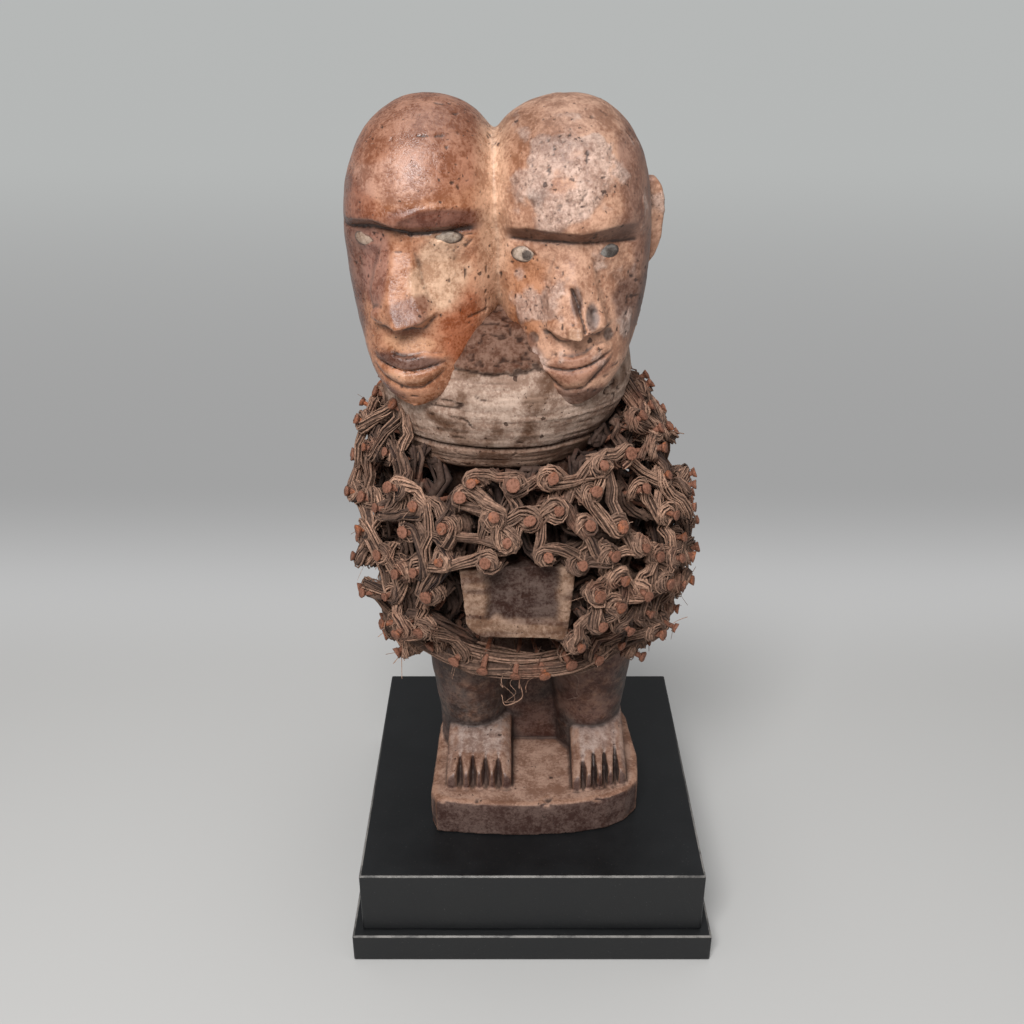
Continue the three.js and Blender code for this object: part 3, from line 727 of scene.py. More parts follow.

# %% [markdown]
# The fused heads get their surface. Where they meet, the valley is filled
# softly. Every point knows its place in its own head's frame, so stains, painted
# shade and highlights, chips and crust are laid by the same millimetres in which
# they were measured.

# %% Surface of the heads
VALLEY_X = -22
VALLEY_ROUNDS = 60
# Knife nicks on the left head's face, each from x, z to x, z of its front.
LEFT_NICKS = [(32, -31, 38, -29), (27, 13, 31, 9), (29, 12, 33, 12.5), (30, 6, 33, 9)]


def in_head(points, head):
    back = np.array(head_matrix(head).inverted())
    return points @ back[:3, :3].T + back[:3, 3]


def left_share(points):
    """1 on the left head, 0 on the right one."""
    return smooth(VALLEY_X + 3, VALLEY_X - 3, points[:, 0])


def patch(place, x, z, wide, high, ragged=0.35, strength=1.0):
    """A patch with a ragged edge, at x and z of the head's own front, for stains and for painted shade and
    highlights.
    """
    away = np.hypot((place[:, 0] - x) / wide, (place[:, 2] - z) / high)
    return strength * (1 - smooth(0.7, 1.15, away + ragged * rough(place, 14, 3.1)))


def soften_valley(mesh):
    points = read_points(mesh)
    near = bump(points[:, 0] - VALLEY_X, 11)[:, None]
    mean_of = neighbour_mean(mesh)
    for _ in range(VALLEY_ROUNDS):
        points = points + (mean_of(points) - points) * near
    write_points(mesh, points)


def carve_head_details(mesh):
    points = read_points(mesh)
    normals = read_normals(mesh)
    left = in_head(points, LEFT_HEAD)
    right = in_head(points, RIGHT_HEAD)
    is_left = left_share(points)
    swell = 0.55 * rough(points, 26) + 0.3 * np.abs(noise(points, 13, 3.3)) + 0.16 * rough(points, 6, 2.0)
    above = patch(right, -4, 40, 24, 26, 0.2) + 0.6 * patch(right, -14, -24, 15, 14, 0.3)
    crust = (1 - is_left) * smooth(0.0, 0.35, rough(right, 13, 1.0, 5) + 0.5 * above - 0.2)
    crumbs = 0.22 * smooth(0, 0.1, rough(right, 2.6, 8.0))
    flakes = crust * (0.3 * smooth(-0.05, 0.1, rough(right, 6, 4.0)) + crumbs)
    pits = smooth(0.62, 0.8, noise(points, 2.6, 9.0)) * smooth(-0.3, 0.3, rough(points, 24, 6.0))
    nicks = np.zeros(len(points))
    for x, z, far_x, far_z in LEFT_NICKS:
        reach = np.array([far_x - x, far_z - z])
        share = np.clip(((left[:, [0, 2]] - [x, z]) @ reach) / (reach @ reach), 0, 1)
        away = np.hypot(left[:, 0] - x - share * reach[0], left[:, 2] - z - share * reach[1])
        nicks += bump(away, 1.3) * is_left * (left[:, 1] < -10)
    write_points(mesh, points + normals * (swell + flakes - 0.5 * pits - 0.6 * nicks)[:, None])
    return crust


soften_valley(heads_mesh)
crust = carve_head_details(heads_mesh)


# Each patch has its colour, then x, z, width and height on the head's front,
# then how ragged its edge is and its strength where they aren't the usual ones.
# Most are stains; those that are painted shade or a painted highlight say so.
LEFT_TAN = (188, 128, 92)
LEFT_STAINS_SHADE_AND_HIGHLIGHT = [
    ((112, 68, 56), (-34, 10, 20, 60)), ((156, 104, 88), (-14, -6, 10.5, 26, 0.12)),
    ((166, 106, 76), (0, 55, 44, 28)), ((176, 92, 40), (32, -34, 13, 22)),
    # The patch at 16, 21 is the brow facet: an orange-brown stain, darkened as painted shade.
    ((118, 56, 26), (16, 21, 26, 7)), ((232, 194, 164), (20, -8, 15, 21)),
    ((150, 84, 52), (-20, 24, 16, 12)), ((78, 36, 26), (4, -52, 21, 4.4, 0.1)),
    # The whitish patch at -4, 36 is a painted highlight on the forehead.
    ((206, 154, 120), (6, -60.5, 13, 3.2, 0.1)), ((206, 164, 146), (-4, 36, 20, 11, 0.5, 0.5)),
    # The patch at -6, -72 is painted shade under the chin.
    ((130, 78, 56), (6, -24, 12, 7, 0.5)), ((120, 70, 50), (-6, -72, 12, 6, 0.5)),
    ((206, 152, 114), (4, -43, 14, 4, 0.3)),
]
RIGHT_PALE = (204, 156, 128)
RIGHT_STAINS_AND_SHADE = [
    ((132, 88, 70), (38, 25, 16, 50)), ((84, 44, 30), (29, -22, 12, 24, 0.5)),
    ((184, 118, 70), (-26, -22, 14, 24)), ((84, 60, 54), (-0.5, -20, 3.4, 8, 0.15)),
    ((100, 84, 82), (7, -28, 3.6, 7, 0.15)), ((70, 54, 50), (16, -40, 2.2, 3.4, 0.5)),
    ((74, 56, 50), (-22, -41, 2.6, 3.2, 0.4)), ((74, 56, 50), (-16, -37, 2, 2.4, 0.4)),
    ((96, 72, 62), (-18, 32, 5, 9, 0.6)), ((214, 168, 140), (50, 5, 9, 30)),
    ((176, 120, 84), (-20, 52, 24, 18)), ((110, 66, 46), (-26, -50, 10, 9, 0.6)),
    # The patch at 0, -74 is painted shade under the chin.
    ((150, 96, 68), (0, -56, 18, 9, 0.3)), ((88, 50, 36), (0, -74, 18, 9, 0.3)),
    ((224, 186, 158), (-2, -34.5, 4, 4, 0.1)),
]


def tint_heads(mesh, crust):
    points = read_points(mesh)
    left = in_head(points, LEFT_HEAD)
    right = in_head(points, RIGHT_HEAD)
    is_left = left_share(points)
    on_left = [(tone, patch(left, *where) * is_left * 0.85) for tone, where in LEFT_STAINS_SHADE_AND_HIGHLIGHT]
    on_right = [(tone, patch(right, *where) * (1 - is_left) * 0.8) for tone, where in RIGHT_STAINS_AND_SHADE]
    crusty = ((214, 190, 180), 0.6 * crust)
    valley = ((234, 194, 164), bump(points[:, 0] - VALLEY_X, 12) * 0.85)
    tints = layered(LEFT_TAN, *on_left, (RIGHT_PALE, 1 - is_left), *on_right, crusty, valley)
    brow_shade = np.zeros(len(points))
    # The left brow facet is tinted dark orange-brown: a stain of the wood, darkened further as painted shade,
    # for the facet faces down.
    crest = line(left[:, 0], LEFT_HEAD["facet"])
    facet_stain_and_shade = smooth(crest + 0.5, crest - 1.5, left[:, 2]) * smooth(12, 14, left[:, 2]) * is_left
    facet_stain_and_shade = facet_stain_and_shade * smooth(0, 3, left[:, 0]) * smooth(37, 31, left[:, 0]) * (left[:, 1] < -15)
    tints = blend(tints, colour(118, 56, 26), 0.8 * facet_stain_and_shade)
    # Both heads are tinted darker towards the crown: painted shade.
    crown_shade = 0.3 * smooth(36, 66, left[:, 2]) * is_left + 0.35 * smooth(40, 66, right[:, 2]) * (1 - is_left)
    tints = tints * (1 - crown_shade[:, None]) * [1.0, 0.95, 0.9]
    for head, local, own in ((LEFT_HEAD, left, is_left), (RIGHT_HEAD, right, 1 - is_left)):
        edge = line(local[:, 0], head["brow_line"])
        foot = line(local[:, 0], head["groove_foot"])
        band = smooth(foot - 1.2, foot + 0.8, local[:, 2]) * smooth(edge + 0.8, edge - 0.8, local[:, 2])
        brow_shade += band * own * brow_reach(local[:, 0], head) * (local[:, 1] < -15)
    # The band under each brow is tinted dark: painted shade under the brow's overhang.
    tints = blend(tints, colour(112, 66, 44), 0.8 * brow_shade)
    # Hollows and the band under each brow go darker: dirt, and painted shade.
    dirt_and_shade = np.clip(smooth(0.02, 0.3, hollows(mesh, 6)) + 0.2 * brow_shade, 0, 1)
    write_surface(mesh, tints, dirt_and_shade, is_left + 0.55 * (1 - is_left))
    write_value(mesh, "crust", crust)


tint_heads(heads_mesh, crust)
print("crust covers", round(float(crust.mean()), 2))

# %% [markdown]
# One mesh of both heads would be too heavy, so it is cut in two along the
# bottom of the valley between them, and each cut is closed.

# %% Cut the heads apart
def cut_at(mesh, name, where, direction):
    """The part of a closed mesh on one side of a plane, closed again."""
    half = bmesh.new()
    half.from_mesh(mesh)
    geom = half.verts[:] + half.edges[:] + half.faces[:]
    result = bmesh.ops.bisect_plane(half, geom=geom, plane_co=where, plane_no=direction, clear_outer=True)
    rim = [item for item in result["geom_cut"] if isinstance(item, bmesh.types.BMEdge)]
    bmesh.ops.holes_fill(half, edges=rim, sides=0)
    return mesh_of(half, name)


left_mesh = cut_at(heads_mesh, "left_head", (VALLEY_X, 0, 0), (1, 0, 0))
right_mesh = cut_at(heads_mesh, "right_head", (VALLEY_X, 0, 0), (-1, 0, 0))
finished(left_mesh, "left_head", "carved_wood", CARVED_WOOD, "carved_figure")
finished(right_mesh, "right_head", "carved_wood", CARVED_WOOD, "carved_figure")

# %% [markdown]
# The eyes are thin lenses of glass or resin, set flush in their sockets. Each
# stands exactly where its CAD node is.

# %% Eyes
# Each eye has its head, its place there, its colour and how clear its pupil is.
EYES = {
    "left_head_left_eye": (LEFT_HEAD, 0, (176, 150, 130), 0.0),
    "left_head_right_eye": (LEFT_HEAD, 1, (176, 158, 140), 0.3),
    "right_head_left_eye": (RIGHT_HEAD, 0, (190, 170, 152), 0.9),
    "right_head_right_eye": (RIGHT_HEAD, 1, (116, 112, 108), 0.5),
}
EYE_TURN = 22  # degrees that each eye faces outwards


def eye_glass():
    material, nodes, shader = new_material("eye_glass")
    mottled = use_group(nodes, MOTTLING, Colour=nodes.attribute("tint", "Color"), Amount=0.9, Size=260.0)
    nodes.link(mottled.outputs["Colour"], shader.inputs["Base Color"])
    nodes.link(nodes.ramp(mottled.outputs["Height"], 0.3, 0.7, 0.6, 0.3), shader.inputs["Roughness"])
    return material


def face_y(x, z, head):
    half, front, back = head_section(np.array([z]))
    away = math.sqrt(1 - ((x - middle_x(np.array([z]), head)[0]) / half[0]) ** 2)
    inside = 1 - smooth(HALF_WIDTH - 20, HALF_WIDTH - 2, abs(x))
    fade = smooth(head["mouth"] + 4, head["brow"] - 8, z)
    return (back[0] - front[0]) / 2 - (back[0] + front[0]) / 2 * away + FACE_RECESS * inside * fade


EYE_GLASS = eye_glass()
for name, (head, place, tone, clear) in EYES.items():
    side, x, z, wide, high = head["eyes"][place]
    lens_shell = bmesh.new()
    bmesh.ops.create_uvsphere(lens_shell, u_segments=64, v_segments=36, radius=1)
    bmesh.ops.scale(lens_shell, vec=(wide, 2.0, high), verts=lens_shell.verts)
    outwards = Matrix.Rotation(math.radians(EYE_TURN * side), 3, "Z")
    bmesh.ops.rotate(lens_shell, verts=lens_shell.verts, matrix=outwards)
    bmesh.ops.translate(lens_shell, verts=lens_shell.verts, vec=(x, face_y(x, z, head) + 0.9, z))
    eye_mesh = mesh_of(on_head(lens_shell, head), name)
    local = in_head(read_points(eye_mesh), head)
    pupil = 1 - smooth(2.3, 2.9, np.hypot(local[:, 0] - x - 1.4, local[:, 2] - z + 0.5))
    rim = smooth(0.66, 0.92, np.hypot((local[:, 0] - x) / wide, (local[:, 2] - z) / high / 1.1))
    write_colour(eye_mesh, "tint", layered(tone, ((54, 38, 32), pupil * clear), ((60, 38, 28), rim)))
    finished(eye_mesh, name + "_inlay", "eye_inlay", EYE_GLASS, name)

# %% [markdown]
# The neck is a wide bowl on which both chins rest. It was shaped with the
# grain lying level, so weather has opened rings and cracks in it. It is spun
# from its profile, pressed oval, fused to an even skin and then given its rings
# and cracks by moving points by height.

# %% Neck
NECK_BOTTOM = 250
NECK_RIM = 294
NECK_PROFILE = [
    (0, 247), (48, 247), (54, 250), (59, 258), (65, 267),
    (70, 281), (71, 294), (68, 310), (51, 328), (0, 340),
]


def neck_x(height):
    return -20 + 4.5 * smooth(NECK_BOTTOM, NECK_RIM, height)


def spun(profile, steps):
    """A closed shell spun from a profile of (radius, height) about z."""
    shell = bmesh.new()
    verts = [shell.verts.new((radius, 0, height)) for radius, height in profile]
    edges = [shell.edges.new(pair) for pair in zip(verts, verts[1:])]
    bmesh.ops.spin(
        shell, geom=verts + edges, cent=(0, 0, 0), axis=(0, 0, 1),
        angle=2 * math.pi, steps=steps, use_merge=True,
    )
    bmesh.ops.remove_doubles(shell, verts=shell.verts, dist=0.001)
    bmesh.ops.recalc_face_normals(shell, faces=shell.faces)
    return shell


def neck_shell():
    def press(points):
        x = points[:, 0] + neck_x(points[:, 2])
        return np.stack([x, points[:, 1] * 0.86 - 5, points[:, 2] + STAND_TOP], axis=1)

    return reshape(spun(NECK_PROFILE, 72), press)


def weather_neck(mesh):
    points = read_points(mesh)
    normals = read_normals(mesh)
    height = points[:, 2] - STAND_TOP
    wavy = height + 2.2 * noise(points, (40, 40, 60), 1.0)
    ring = smooth(263, 260, wavy)
    groove = bump(wavy - 262, 1.6)
    lines = 0.35 * noise(points * [0.05, 0.05, 1], 1.1, 2.0) + 0.3 * noise(points * [0.08, 0.08, 1], 2.4, 4.0)
    cracked = np.abs(noise(points * [0.25, 0.25, 1], 6.0, 6.0))
    crack = smooth(0.06, 0.0, cracked) * smooth(0.1, 0.4, noise(points, 22, 8.0))
    lump = 0.7 * rough(points, 24, 9.0)
    over = height - 308 - 4 * noise(points, (14, 14, 40), 4.0) - 2.5 * rough(points, 5, 1.0)
    crusted = smooth(-0.6, 1.2, over)
    split = bump(over + 0.5, 1.5) * (points[:, 1] < -10)
    flakes = crusted * 1.3 * smooth(-0.1, 0.15, rough(points, 8, 3.0))
    depth = lump + lines + 1.2 * ring - 2.0 * groove - 1.0 * crack + flakes - 1.3 * split
    write_points(mesh, points + normals * depth[:, None])
    brown = ((128, 96, 76), smooth(-0.15, 0.3, rough(points, 18, 3.0, 5)))
    tints = layered((194, 166, 148), brown, ((156, 122, 102), ring * 0.8), ((104, 66, 46), crusted))
    # Hollows, cracks, the groove and the split go darker: dirt, and painted shade.
    dirt_and_shade = smooth(0.05, 0.4, hollows(mesh, 5)) + crack + groove + split
    write_surface(mesh, tints, np.clip(dirt_and_shade, 0, 1), 0.12)


neck_mesh = fused("neck", [neck_shell()], 1.0)
weather_neck(neck_mesh)
finished(neck_mesh, "neck_bowl", "carved_wood", DRY_WOOD, "carved_figure")

# %% [markdown]
# Under the nails the trunk is hardly seen, but between the cords it shows as
# dark wood, so it is a plain spun form with a little unevenness.

# %% Trunk
TRUNK_PROFILE = [
    (0, 100), (40, 100), (52, 108), (55, 116), (55, 130), (54, 142),
    (48, 156), (46, 190), (45, 215), (45, 252), (0, 252),
]


def axis_x(height):
    return -5 - 8 * smooth(195, 290, height)


def trunk_move(points):
    x = points[:, 0] * 1.04 + axis_x(points[:, 2])
    moved = np.stack([x, points[:, 1], points[:, 2] + STAND_TOP], axis=1)
    return moved + 0.8 * rough(moved, 18, 2.0)[:, None] * [1, 1, 0]


trunk_shell = spun(TRUNK_PROFILE, 96)
bmesh.ops.subdivide_edges(trunk_shell, edges=trunk_shell.edges[:], cuts=2, use_grid_fill=True)
trunk_mesh = mesh_of(reshape(trunk_shell, trunk_move), "trunk")
trunk_dirt = smooth(-0.3, 0.6, rough(read_points(trunk_mesh), (30, 30, 5)))
write_surface(trunk_mesh, colour(92, 60, 44), trunk_dirt, 0.1)
finished(trunk_mesh, "trunk", "carved_wood", DRY_WOOD, "carved_figure")

# %% [markdown]
# Legs, feet and the block under them are one carving. The ground is an extruded
# outline, each foot is a fine cube whose top is pulled to the slope of the
# instep and slit between the toes, and the legs are spun. They are fused, and
# then take knife marks and worn corners.

# %% Ground, feet and legs
GROUND_THICKNESS = 25.6
GROUND_LIFT = 0.3
GROUND_OUTLINE = [
    (-64, -57), (-60, -67), (-30, -70), (-4, -71), (25, -69), (48, -64), (60, -57), (69, -46), (71, -22),
    (67, 20), (61, 42), (52, 56), (37, 60), (-36, 60), (-52, 56), (-58, 42), (-62, 10),
]
LEG_X = 38
LEG_PROFILE = [
    (0, 10), (21, 10), (22, 38), (22.5, 50), (25, 66),
    (27.5, 84), (28.5, 98), (28, 112), (23, 130), (0, 130),
]
LEFT_FOOT = {"inner": -13, "outer": -54, "inner_toe": -55, "outer_toe": -55, "slot": 2.5, "slit": 18}
RIGHT_FOOT = {"inner": 26, "outer": 61, "inner_toe": -58, "outer_toe": -50, "slot": 1.7, "slit": 23}
TOES = 5
HEEL_Y = 42


def ground_shell():
    outline = [(x, y, STAND_TOP + GROUND_LIFT) for x, y in GROUND_OUTLINE]
    shell = plate(outline, (0, 0, GROUND_THICKNESS - GROUND_LIFT))
    top = [edge for edge in shell.edges if all(vert.co.z > STAND_TOP + 5 for vert in edge.verts)]
    round_edges(shell, top, 2.2)
    return shell


def foot_shell(foot):
    """A fine cube: u runs across the toes, v from toe to heel, w upwards."""

    def place(points):
        u, v, w = ((points + 1) / 2).T
        x = foot["inner"] + (foot["outer"] - foot["inner"]) * u
        toe = foot["inner_toe"] + (foot["outer_toe"] - foot["inner_toe"]) * u
        in_toe = (u * TOES) % 1 - 0.5
        toe = toe + 5 * np.abs(in_toe) ** 2 - 1
        y = toe + (HEEL_Y - toe) * v
        back = y - toe
        top = np.interp(back, [0, 1.5, 4, 12, 36, 60], [10, 12, 13, 15.5, 22, 26])
        top = top - 4 * np.abs(2 * u - 1) ** 6
        heel = np.clip((v - 0.78) / 0.22, 0, 1) ** 2
        middle = (foot["inner"] + foot["outer"]) / 2
        x = middle + (x - middle) * (1 - 0.42 * heel)
        top = top * (1 - 0.3 * heel)
        reach = np.clip(1 - back / foot["slit"], 0, 1) ** 1.3
        width = foot["slot"] * reach + 0.3
        line_x = np.abs(np.abs(in_toe) - 0.5) * abs(foot["outer"] - foot["inner"]) / TOES
        between = smooth(1.15, 0.75, line_x / width) * (np.abs(u - 0.5) < 0.42)
        top = top - 13 * between * smooth(0, 0.35, reach)
        z = -3 + (top + 3) * w
        return np.stack([x, y, z + STAND_TOP + GROUND_THICKNESS], axis=1)

    shell = reshape(fine_cube(70), place)
    bmesh.ops.recalc_face_normals(shell, faces=shell.faces)
    return shell


def leg_shell(side):
    shell = spun(LEG_PROFILE, 64)
    return reshape(shell, lambda points: points * [1, 1.15, 1] + [side * LEG_X, 6, STAND_TOP])


def weather_legs_and_paint_light(mesh):
    points = read_points(mesh)
    normals = read_normals(mesh)
    height = points[:, 2] - STAND_TOP
    over = height - GROUND_THICKNESS
    under = smooth(3, 0.5, height)
    depth = 0.5 * rough(points, 20, 3.0) + 0.2 * rough(points, 6, 1.0)
    corner = smooth(-5, 0, over) * smooth(1, 0, over)
    chipped = corner * smooth(0.15, 0.5, rough(points, 11, 7.0)) * smooth(-60, -66, points[:, 1])
    write_points(mesh, points + normals * ((depth - 2.0 * chipped) * (1 - under))[:, None])
    facing = read_normals(mesh)
    deep = hollows(mesh, 8)
    upwards = smooth(0.3, 0.8, facing[:, 2])
    instep_sheen = smooth(52, 44, height) * smooth(3, 7, over) * upwards
    toe_front = smooth(0.5, 0.8, -facing[:, 1]) * smooth(15, 11, over) * (points[:, 1] < -40)
    ground = smooth(2, -1, over)
    tints = layered(
        (52, 28, 20),
        ((90, 48, 32), smooth(-0.2, 0.5, rough(points, 24, 5.0))),
        # Pale sheen on the up-facing instep: a painted highlight.
        ((190, 164, 152), 0.85 * instep_sheen),
        ((78, 38, 24), 0.9 * toe_front),
        ((76, 42, 30), ground * 0.85),
        # The up-facing top of the ground is tinted lighter: painted light.
        ((174, 134, 112), 0.9 * upwards * smooth(4, 1, over)),
        ((150, 104, 76), smooth(0.0, -0.25, deep) * 0.7 * (1 - toe_front)),
    )
    # Hollows go darker: dirt, and painted shade.
    write_surface(mesh, tints, smooth(0.05, 0.6, deep), np.clip(0.25 + 0.45 * instep_sheen - 0.25 * ground, 0, 1))


web = block((2 * LEG_X, 34, 120), (0, 13, STAND_TOP + 70))
feet = [foot_shell(LEFT_FOOT), foot_shell(RIGHT_FOOT)]
legs_mesh = fused("legs", [ground_shell(), *feet, leg_shell(-1), leg_shell(1), web], 1.02)
weather_legs_and_paint_light(legs_mesh)
finished(legs_mesh, "legs_and_ground", "carved_wood", CARVED_WOOD, "carved_figure")

# %% [markdown]
# The box on the belly is a block with a shallow pocket in its front, made to
# hold a charge that is now gone. Its border is dry and pale, the pocket dark.

# %% Belly box
BOX_X = -9.5
BOX_FRONT = -90
BOX_LOW = 162
BOX_HIGH = 206


def box_shell():
    def place(points):
        u, v, w = points.T
        height = (BOX_LOW + BOX_HIGH) / 2 + (BOX_HIGH - BOX_LOW) / 2 * w
        half = 27.5 + 4 * (w + 1) / 2
        x = half * u
        round_left = 9 * (1 - np.sqrt(np.clip(1 - smooth(-0.45, -1.0, w) ** 2, 0, 1)))
        x = x + round_left * smooth(0, 1.0, -u)
        worn_corner = bump(u - 0.9, 0.4) * smooth(-0.5, -1, w)
        height = height - 1.2 * worn_corner + 0.8 * noise(points * 9, (4, 9, 9), 5.0)
        y = BOX_FRONT + 45 * (v + 1) / 2
        wavy = 1.5 * noise(points * 30, 9, 2.0)
        slope = 1.5 * wavy + 3 * bump(x + 12, 9)
        pocket = smooth(22, 18, np.abs(x - 3 + wavy)) * smooth(170 + slope, 174 + slope, height)
        front = smooth(-0.98, -1.0, v)
        y = y + front * 2.6 * pocket
        return np.stack([x + BOX_X, y, height + STAND_TOP], axis=1)

    return reshape(fine_cube(90), place)


def weather_box(mesh):
    points = read_points(mesh)
    normals = read_normals(mesh)
    lines = 0.25 * noise(points * [0.1, 0.1, 1], 1.3, 2.0)
    depth = lines + 0.3 * rough(points, 9, 6.0)
    write_points(mesh, points + normals * depth[:, None])
    height = points[:, 2] - STAND_TOP
    x = points[:, 0] - BOX_X
    ragged = 1.5 * rough(points, 9, 7.0)
    low_edge = 171 + 3 * bump(x + 12, 9) + ragged
    pocket = smooth(22, 17, np.abs(x - 3) + ragged) * smooth(low_edge, low_edge + 4, height)
    brown = ((104, 74, 58), smooth(-0.1, 0.5, rough(points, (30, 30, 4), 3.0)))
    tints = layered((150, 118, 96), brown, ((60, 32, 24), pocket * 0.95))
    # Hollows go darker, less in the pocket: dirt, and painted shade.
    dirt_and_shade = smooth(0.04, 0.4, hollows(mesh, 5)) * (1 - 0.7 * pocket)
    write_surface(mesh, tints, dirt_and_shade, 0.1 * (1 - pocket))


box_mesh = fused("belly_box", [box_shell()], 0.8)
weather_box(box_mesh)
finished(box_mesh, "belly_box_carved", "box_wood", DRY_WOOD, "belly_box")

# %% [markdown]
# Nails stand all round the trunk with their heads on a barrel-shaped surface.
# Those in front are given as points on the photograph: a ray from the camera
# through each one meets the barrel where the nail's head is. The rest follow
# rough rows with a jitter, and keep their distance from the nails before them.
# A row of hem nails below carries the lowest ropes.

# %% Where the nails are
NAIL_ROWS = [124, 143, 162, 182, 202, 222, 242, 262, 280, 294]
NAIL_SPACING = 18
NAIL_CLOSEST = 14.5
BARREL_RADIUS = 108
BARREL_MIDDLE = 182
BARREL_BELOW = 88
BARREL_ABOVE = 130
TRUNK_RADIUS = 48
IN_THE_WOOD = 3
FRONT_NAILS = [
    (471, 483), (513, 486), (459, 498), (553, 478), (604, 465), (599, 493), (631, 453), (494, 517),
    (530, 523), (560, 512), (591, 526), (624, 527), (440, 530), (507, 543), (485, 563), (549, 559),
    (584, 567), (411, 507), (400, 533), (437, 564), (423, 600), (387, 487), (373, 508), (393, 575),
    (617, 557), (627, 582), (649, 597), (624, 610), (602, 599), (603, 627), (632, 633), (647, 548),
]
HEM_RADIUS = 76
HEM_LEVEL = 129
HEM_NAILS = [
    (-0.74, 137), (-0.52, 134), (-0.3, 132), (-0.07, 131),
    (0.14, 131), (0.33, 136), (0.55, 134), (0.76, 137),
]
NAIL_LIMIT = 109  # no head stands further from the middle than this, along x or y


def barrel_radius(height):
    reach = np.where(height < BARREL_MIDDLE, BARREL_BELOW, BARREL_ABOVE)
    away = np.minimum(0.98, np.abs(height - BARREL_MIDDLE) / reach)
    return BARREL_RADIUS * (1 - away**2.5) ** 0.4


def on_barrel(pixel_x, pixel_y):
    """Turn from the front and height where a pixel's ray meets the barrel."""
    right = (pixel_x - IMAGE_PIXELS / 2) / FOCAL_PIXELS
    down = (pixel_y - IMAGE_PIXELS / 2) / FOCAL_PIXELS
    pitch = math.radians(CAMERA_PITCH)
    ahead = math.cos(pitch) - down * math.sin(pitch)
    ray = np.array([right, ahead, -math.sin(pitch) - down * math.cos(pitch)])
    steps = np.arange(420, 760, 0.5)  # millimetres from the camera
    points = np.array(CAMERA_PLACE) / MM + steps[:, None] * ray
    height = points[:, 2] - STAND_TOP
    off = points[:, 0] - axis_x(height)
    inside = np.hypot(off, points[:, 1]) < barrel_radius(height)
    first = int(np.argmax(inside))
    return math.atan2(off[first], -points[first, 1]), height[first]


def nail_places():
    """Turn from the front, height and sunk depth of every nail.

    Rows leave out the nails that would stand over the box, under a chin or over
    the hem nails.
    """
    chance = np.random.default_rng(11)
    found = [(*on_barrel(*pixel), chance.uniform(-1, 2)) for pixel in FRONT_NAILS]
    found += [(*place, barrel_radius(np.array(place[1])) - HEM_RADIUS - 8) for place in HEM_NAILS]
    for row, height in enumerate(NAIL_ROWS):
        count = int(2 * math.pi * barrel_radius(np.array(height)) / NAIL_SPACING)
        for i in range(count):
            turn = (i + 0.5 * (row % 2) + chance.uniform(-0.35, 0.35)) / count * 2 * math.pi - math.pi
            level = height + chance.uniform(-7, 7)
            over_box = abs(100 * math.sin(turn) - BOX_X) < 38 and math.cos(turn) > 0 and 148 < level < 216
            under_chin = math.cos(turn) > 0.5 and level > 262
            above_hem = math.cos(turn) > 0.6 and level < (150 if abs(turn + 0.1) < 0.42 else 138)
            gaps = [
                math.hypot(math.remainder(turn - other[0], 2 * math.pi) * BARREL_RADIUS, level - other[1])
                for other in found
            ]
            if not over_box and not under_chin and not above_hem and min(gaps) > NAIL_CLOSEST:
                found.append((turn, level, chance.uniform(-2, 5)))
    return np.array(found)


PLACES = nail_places()
turn, level, sunk = PLACES.T
at_hem = ((np.arange(len(PLACES)) - len(FRONT_NAILS)) // len(HEM_NAILS) == 0) & (np.abs(turn) < 0.4)
slope = -0.2 + 0.7 * (level - 136) / (265 - 136)  # low nails point downwards, high ones up
direction = np.stack([np.sin(turn), -np.cos(turn), slope], axis=1)
direction += np.random.default_rng(12).uniform(-0.14, 0.14, direction.shape)
direction /= np.linalg.norm(direction, axis=1)[:, None]
radius = barrel_radius(level) - sunk
heads_x = axis_x(level) + radius * np.sin(turn)
HEADS_AT = np.stack([heads_x, -radius * np.cos(turn), level + STAND_TOP], axis=1)
HEADS_AT[:, :2] = np.clip(HEADS_AT[:, :2], -NAIL_LIMIT, NAIL_LIMIT)
LENGTHS = (radius - TRUNK_RADIUS + IN_THE_WOOD) * np.hypot(1, slope)
print("nails:", len(PLACES))

# %% [markdown]
# One nail is a forged shank with a thick, slightly domed head: a cone and a
# bevelled disc of a few dozen faces. It is copied to every place with its own
# turn, size and tilt. Low, middle and high nails are three pieces, which stand
# for the CAD nodes of the same bands.

# %% Nails
def rusted_iron():
    material, nodes, shader = new_material("rusted_iron")
    place = nodes.object_place()
    broad = nodes.cloud(place, 70.0, 4.0, 0.65)
    rust = nodes.mix(nodes.ramp(broad, 0.54, 0.68), paint(138, 92, 72), paint(164, 96, 60))
    speck = nodes.cloud(place, 700.0, 4.0, 0.65)
    dark = nodes.mix(nodes.ramp(speck, 0.36, 0.54, 0.75, 0.0), rust, paint(84, 50, 34))
    nodes.link(dark, shader.inputs["Base Color"])
    nodes.link(nodes.ramp(speck, 0.3, 0.7, 0.95, 0.65), shader.inputs["Roughness"])
    shader.inputs["Metallic"].default_value = 0.1
    nodes.relief(shader, 0.7, 0.0006, speck)
    return material


RUSTED_IRON = rusted_iron()
SHANK_END = -1000.0


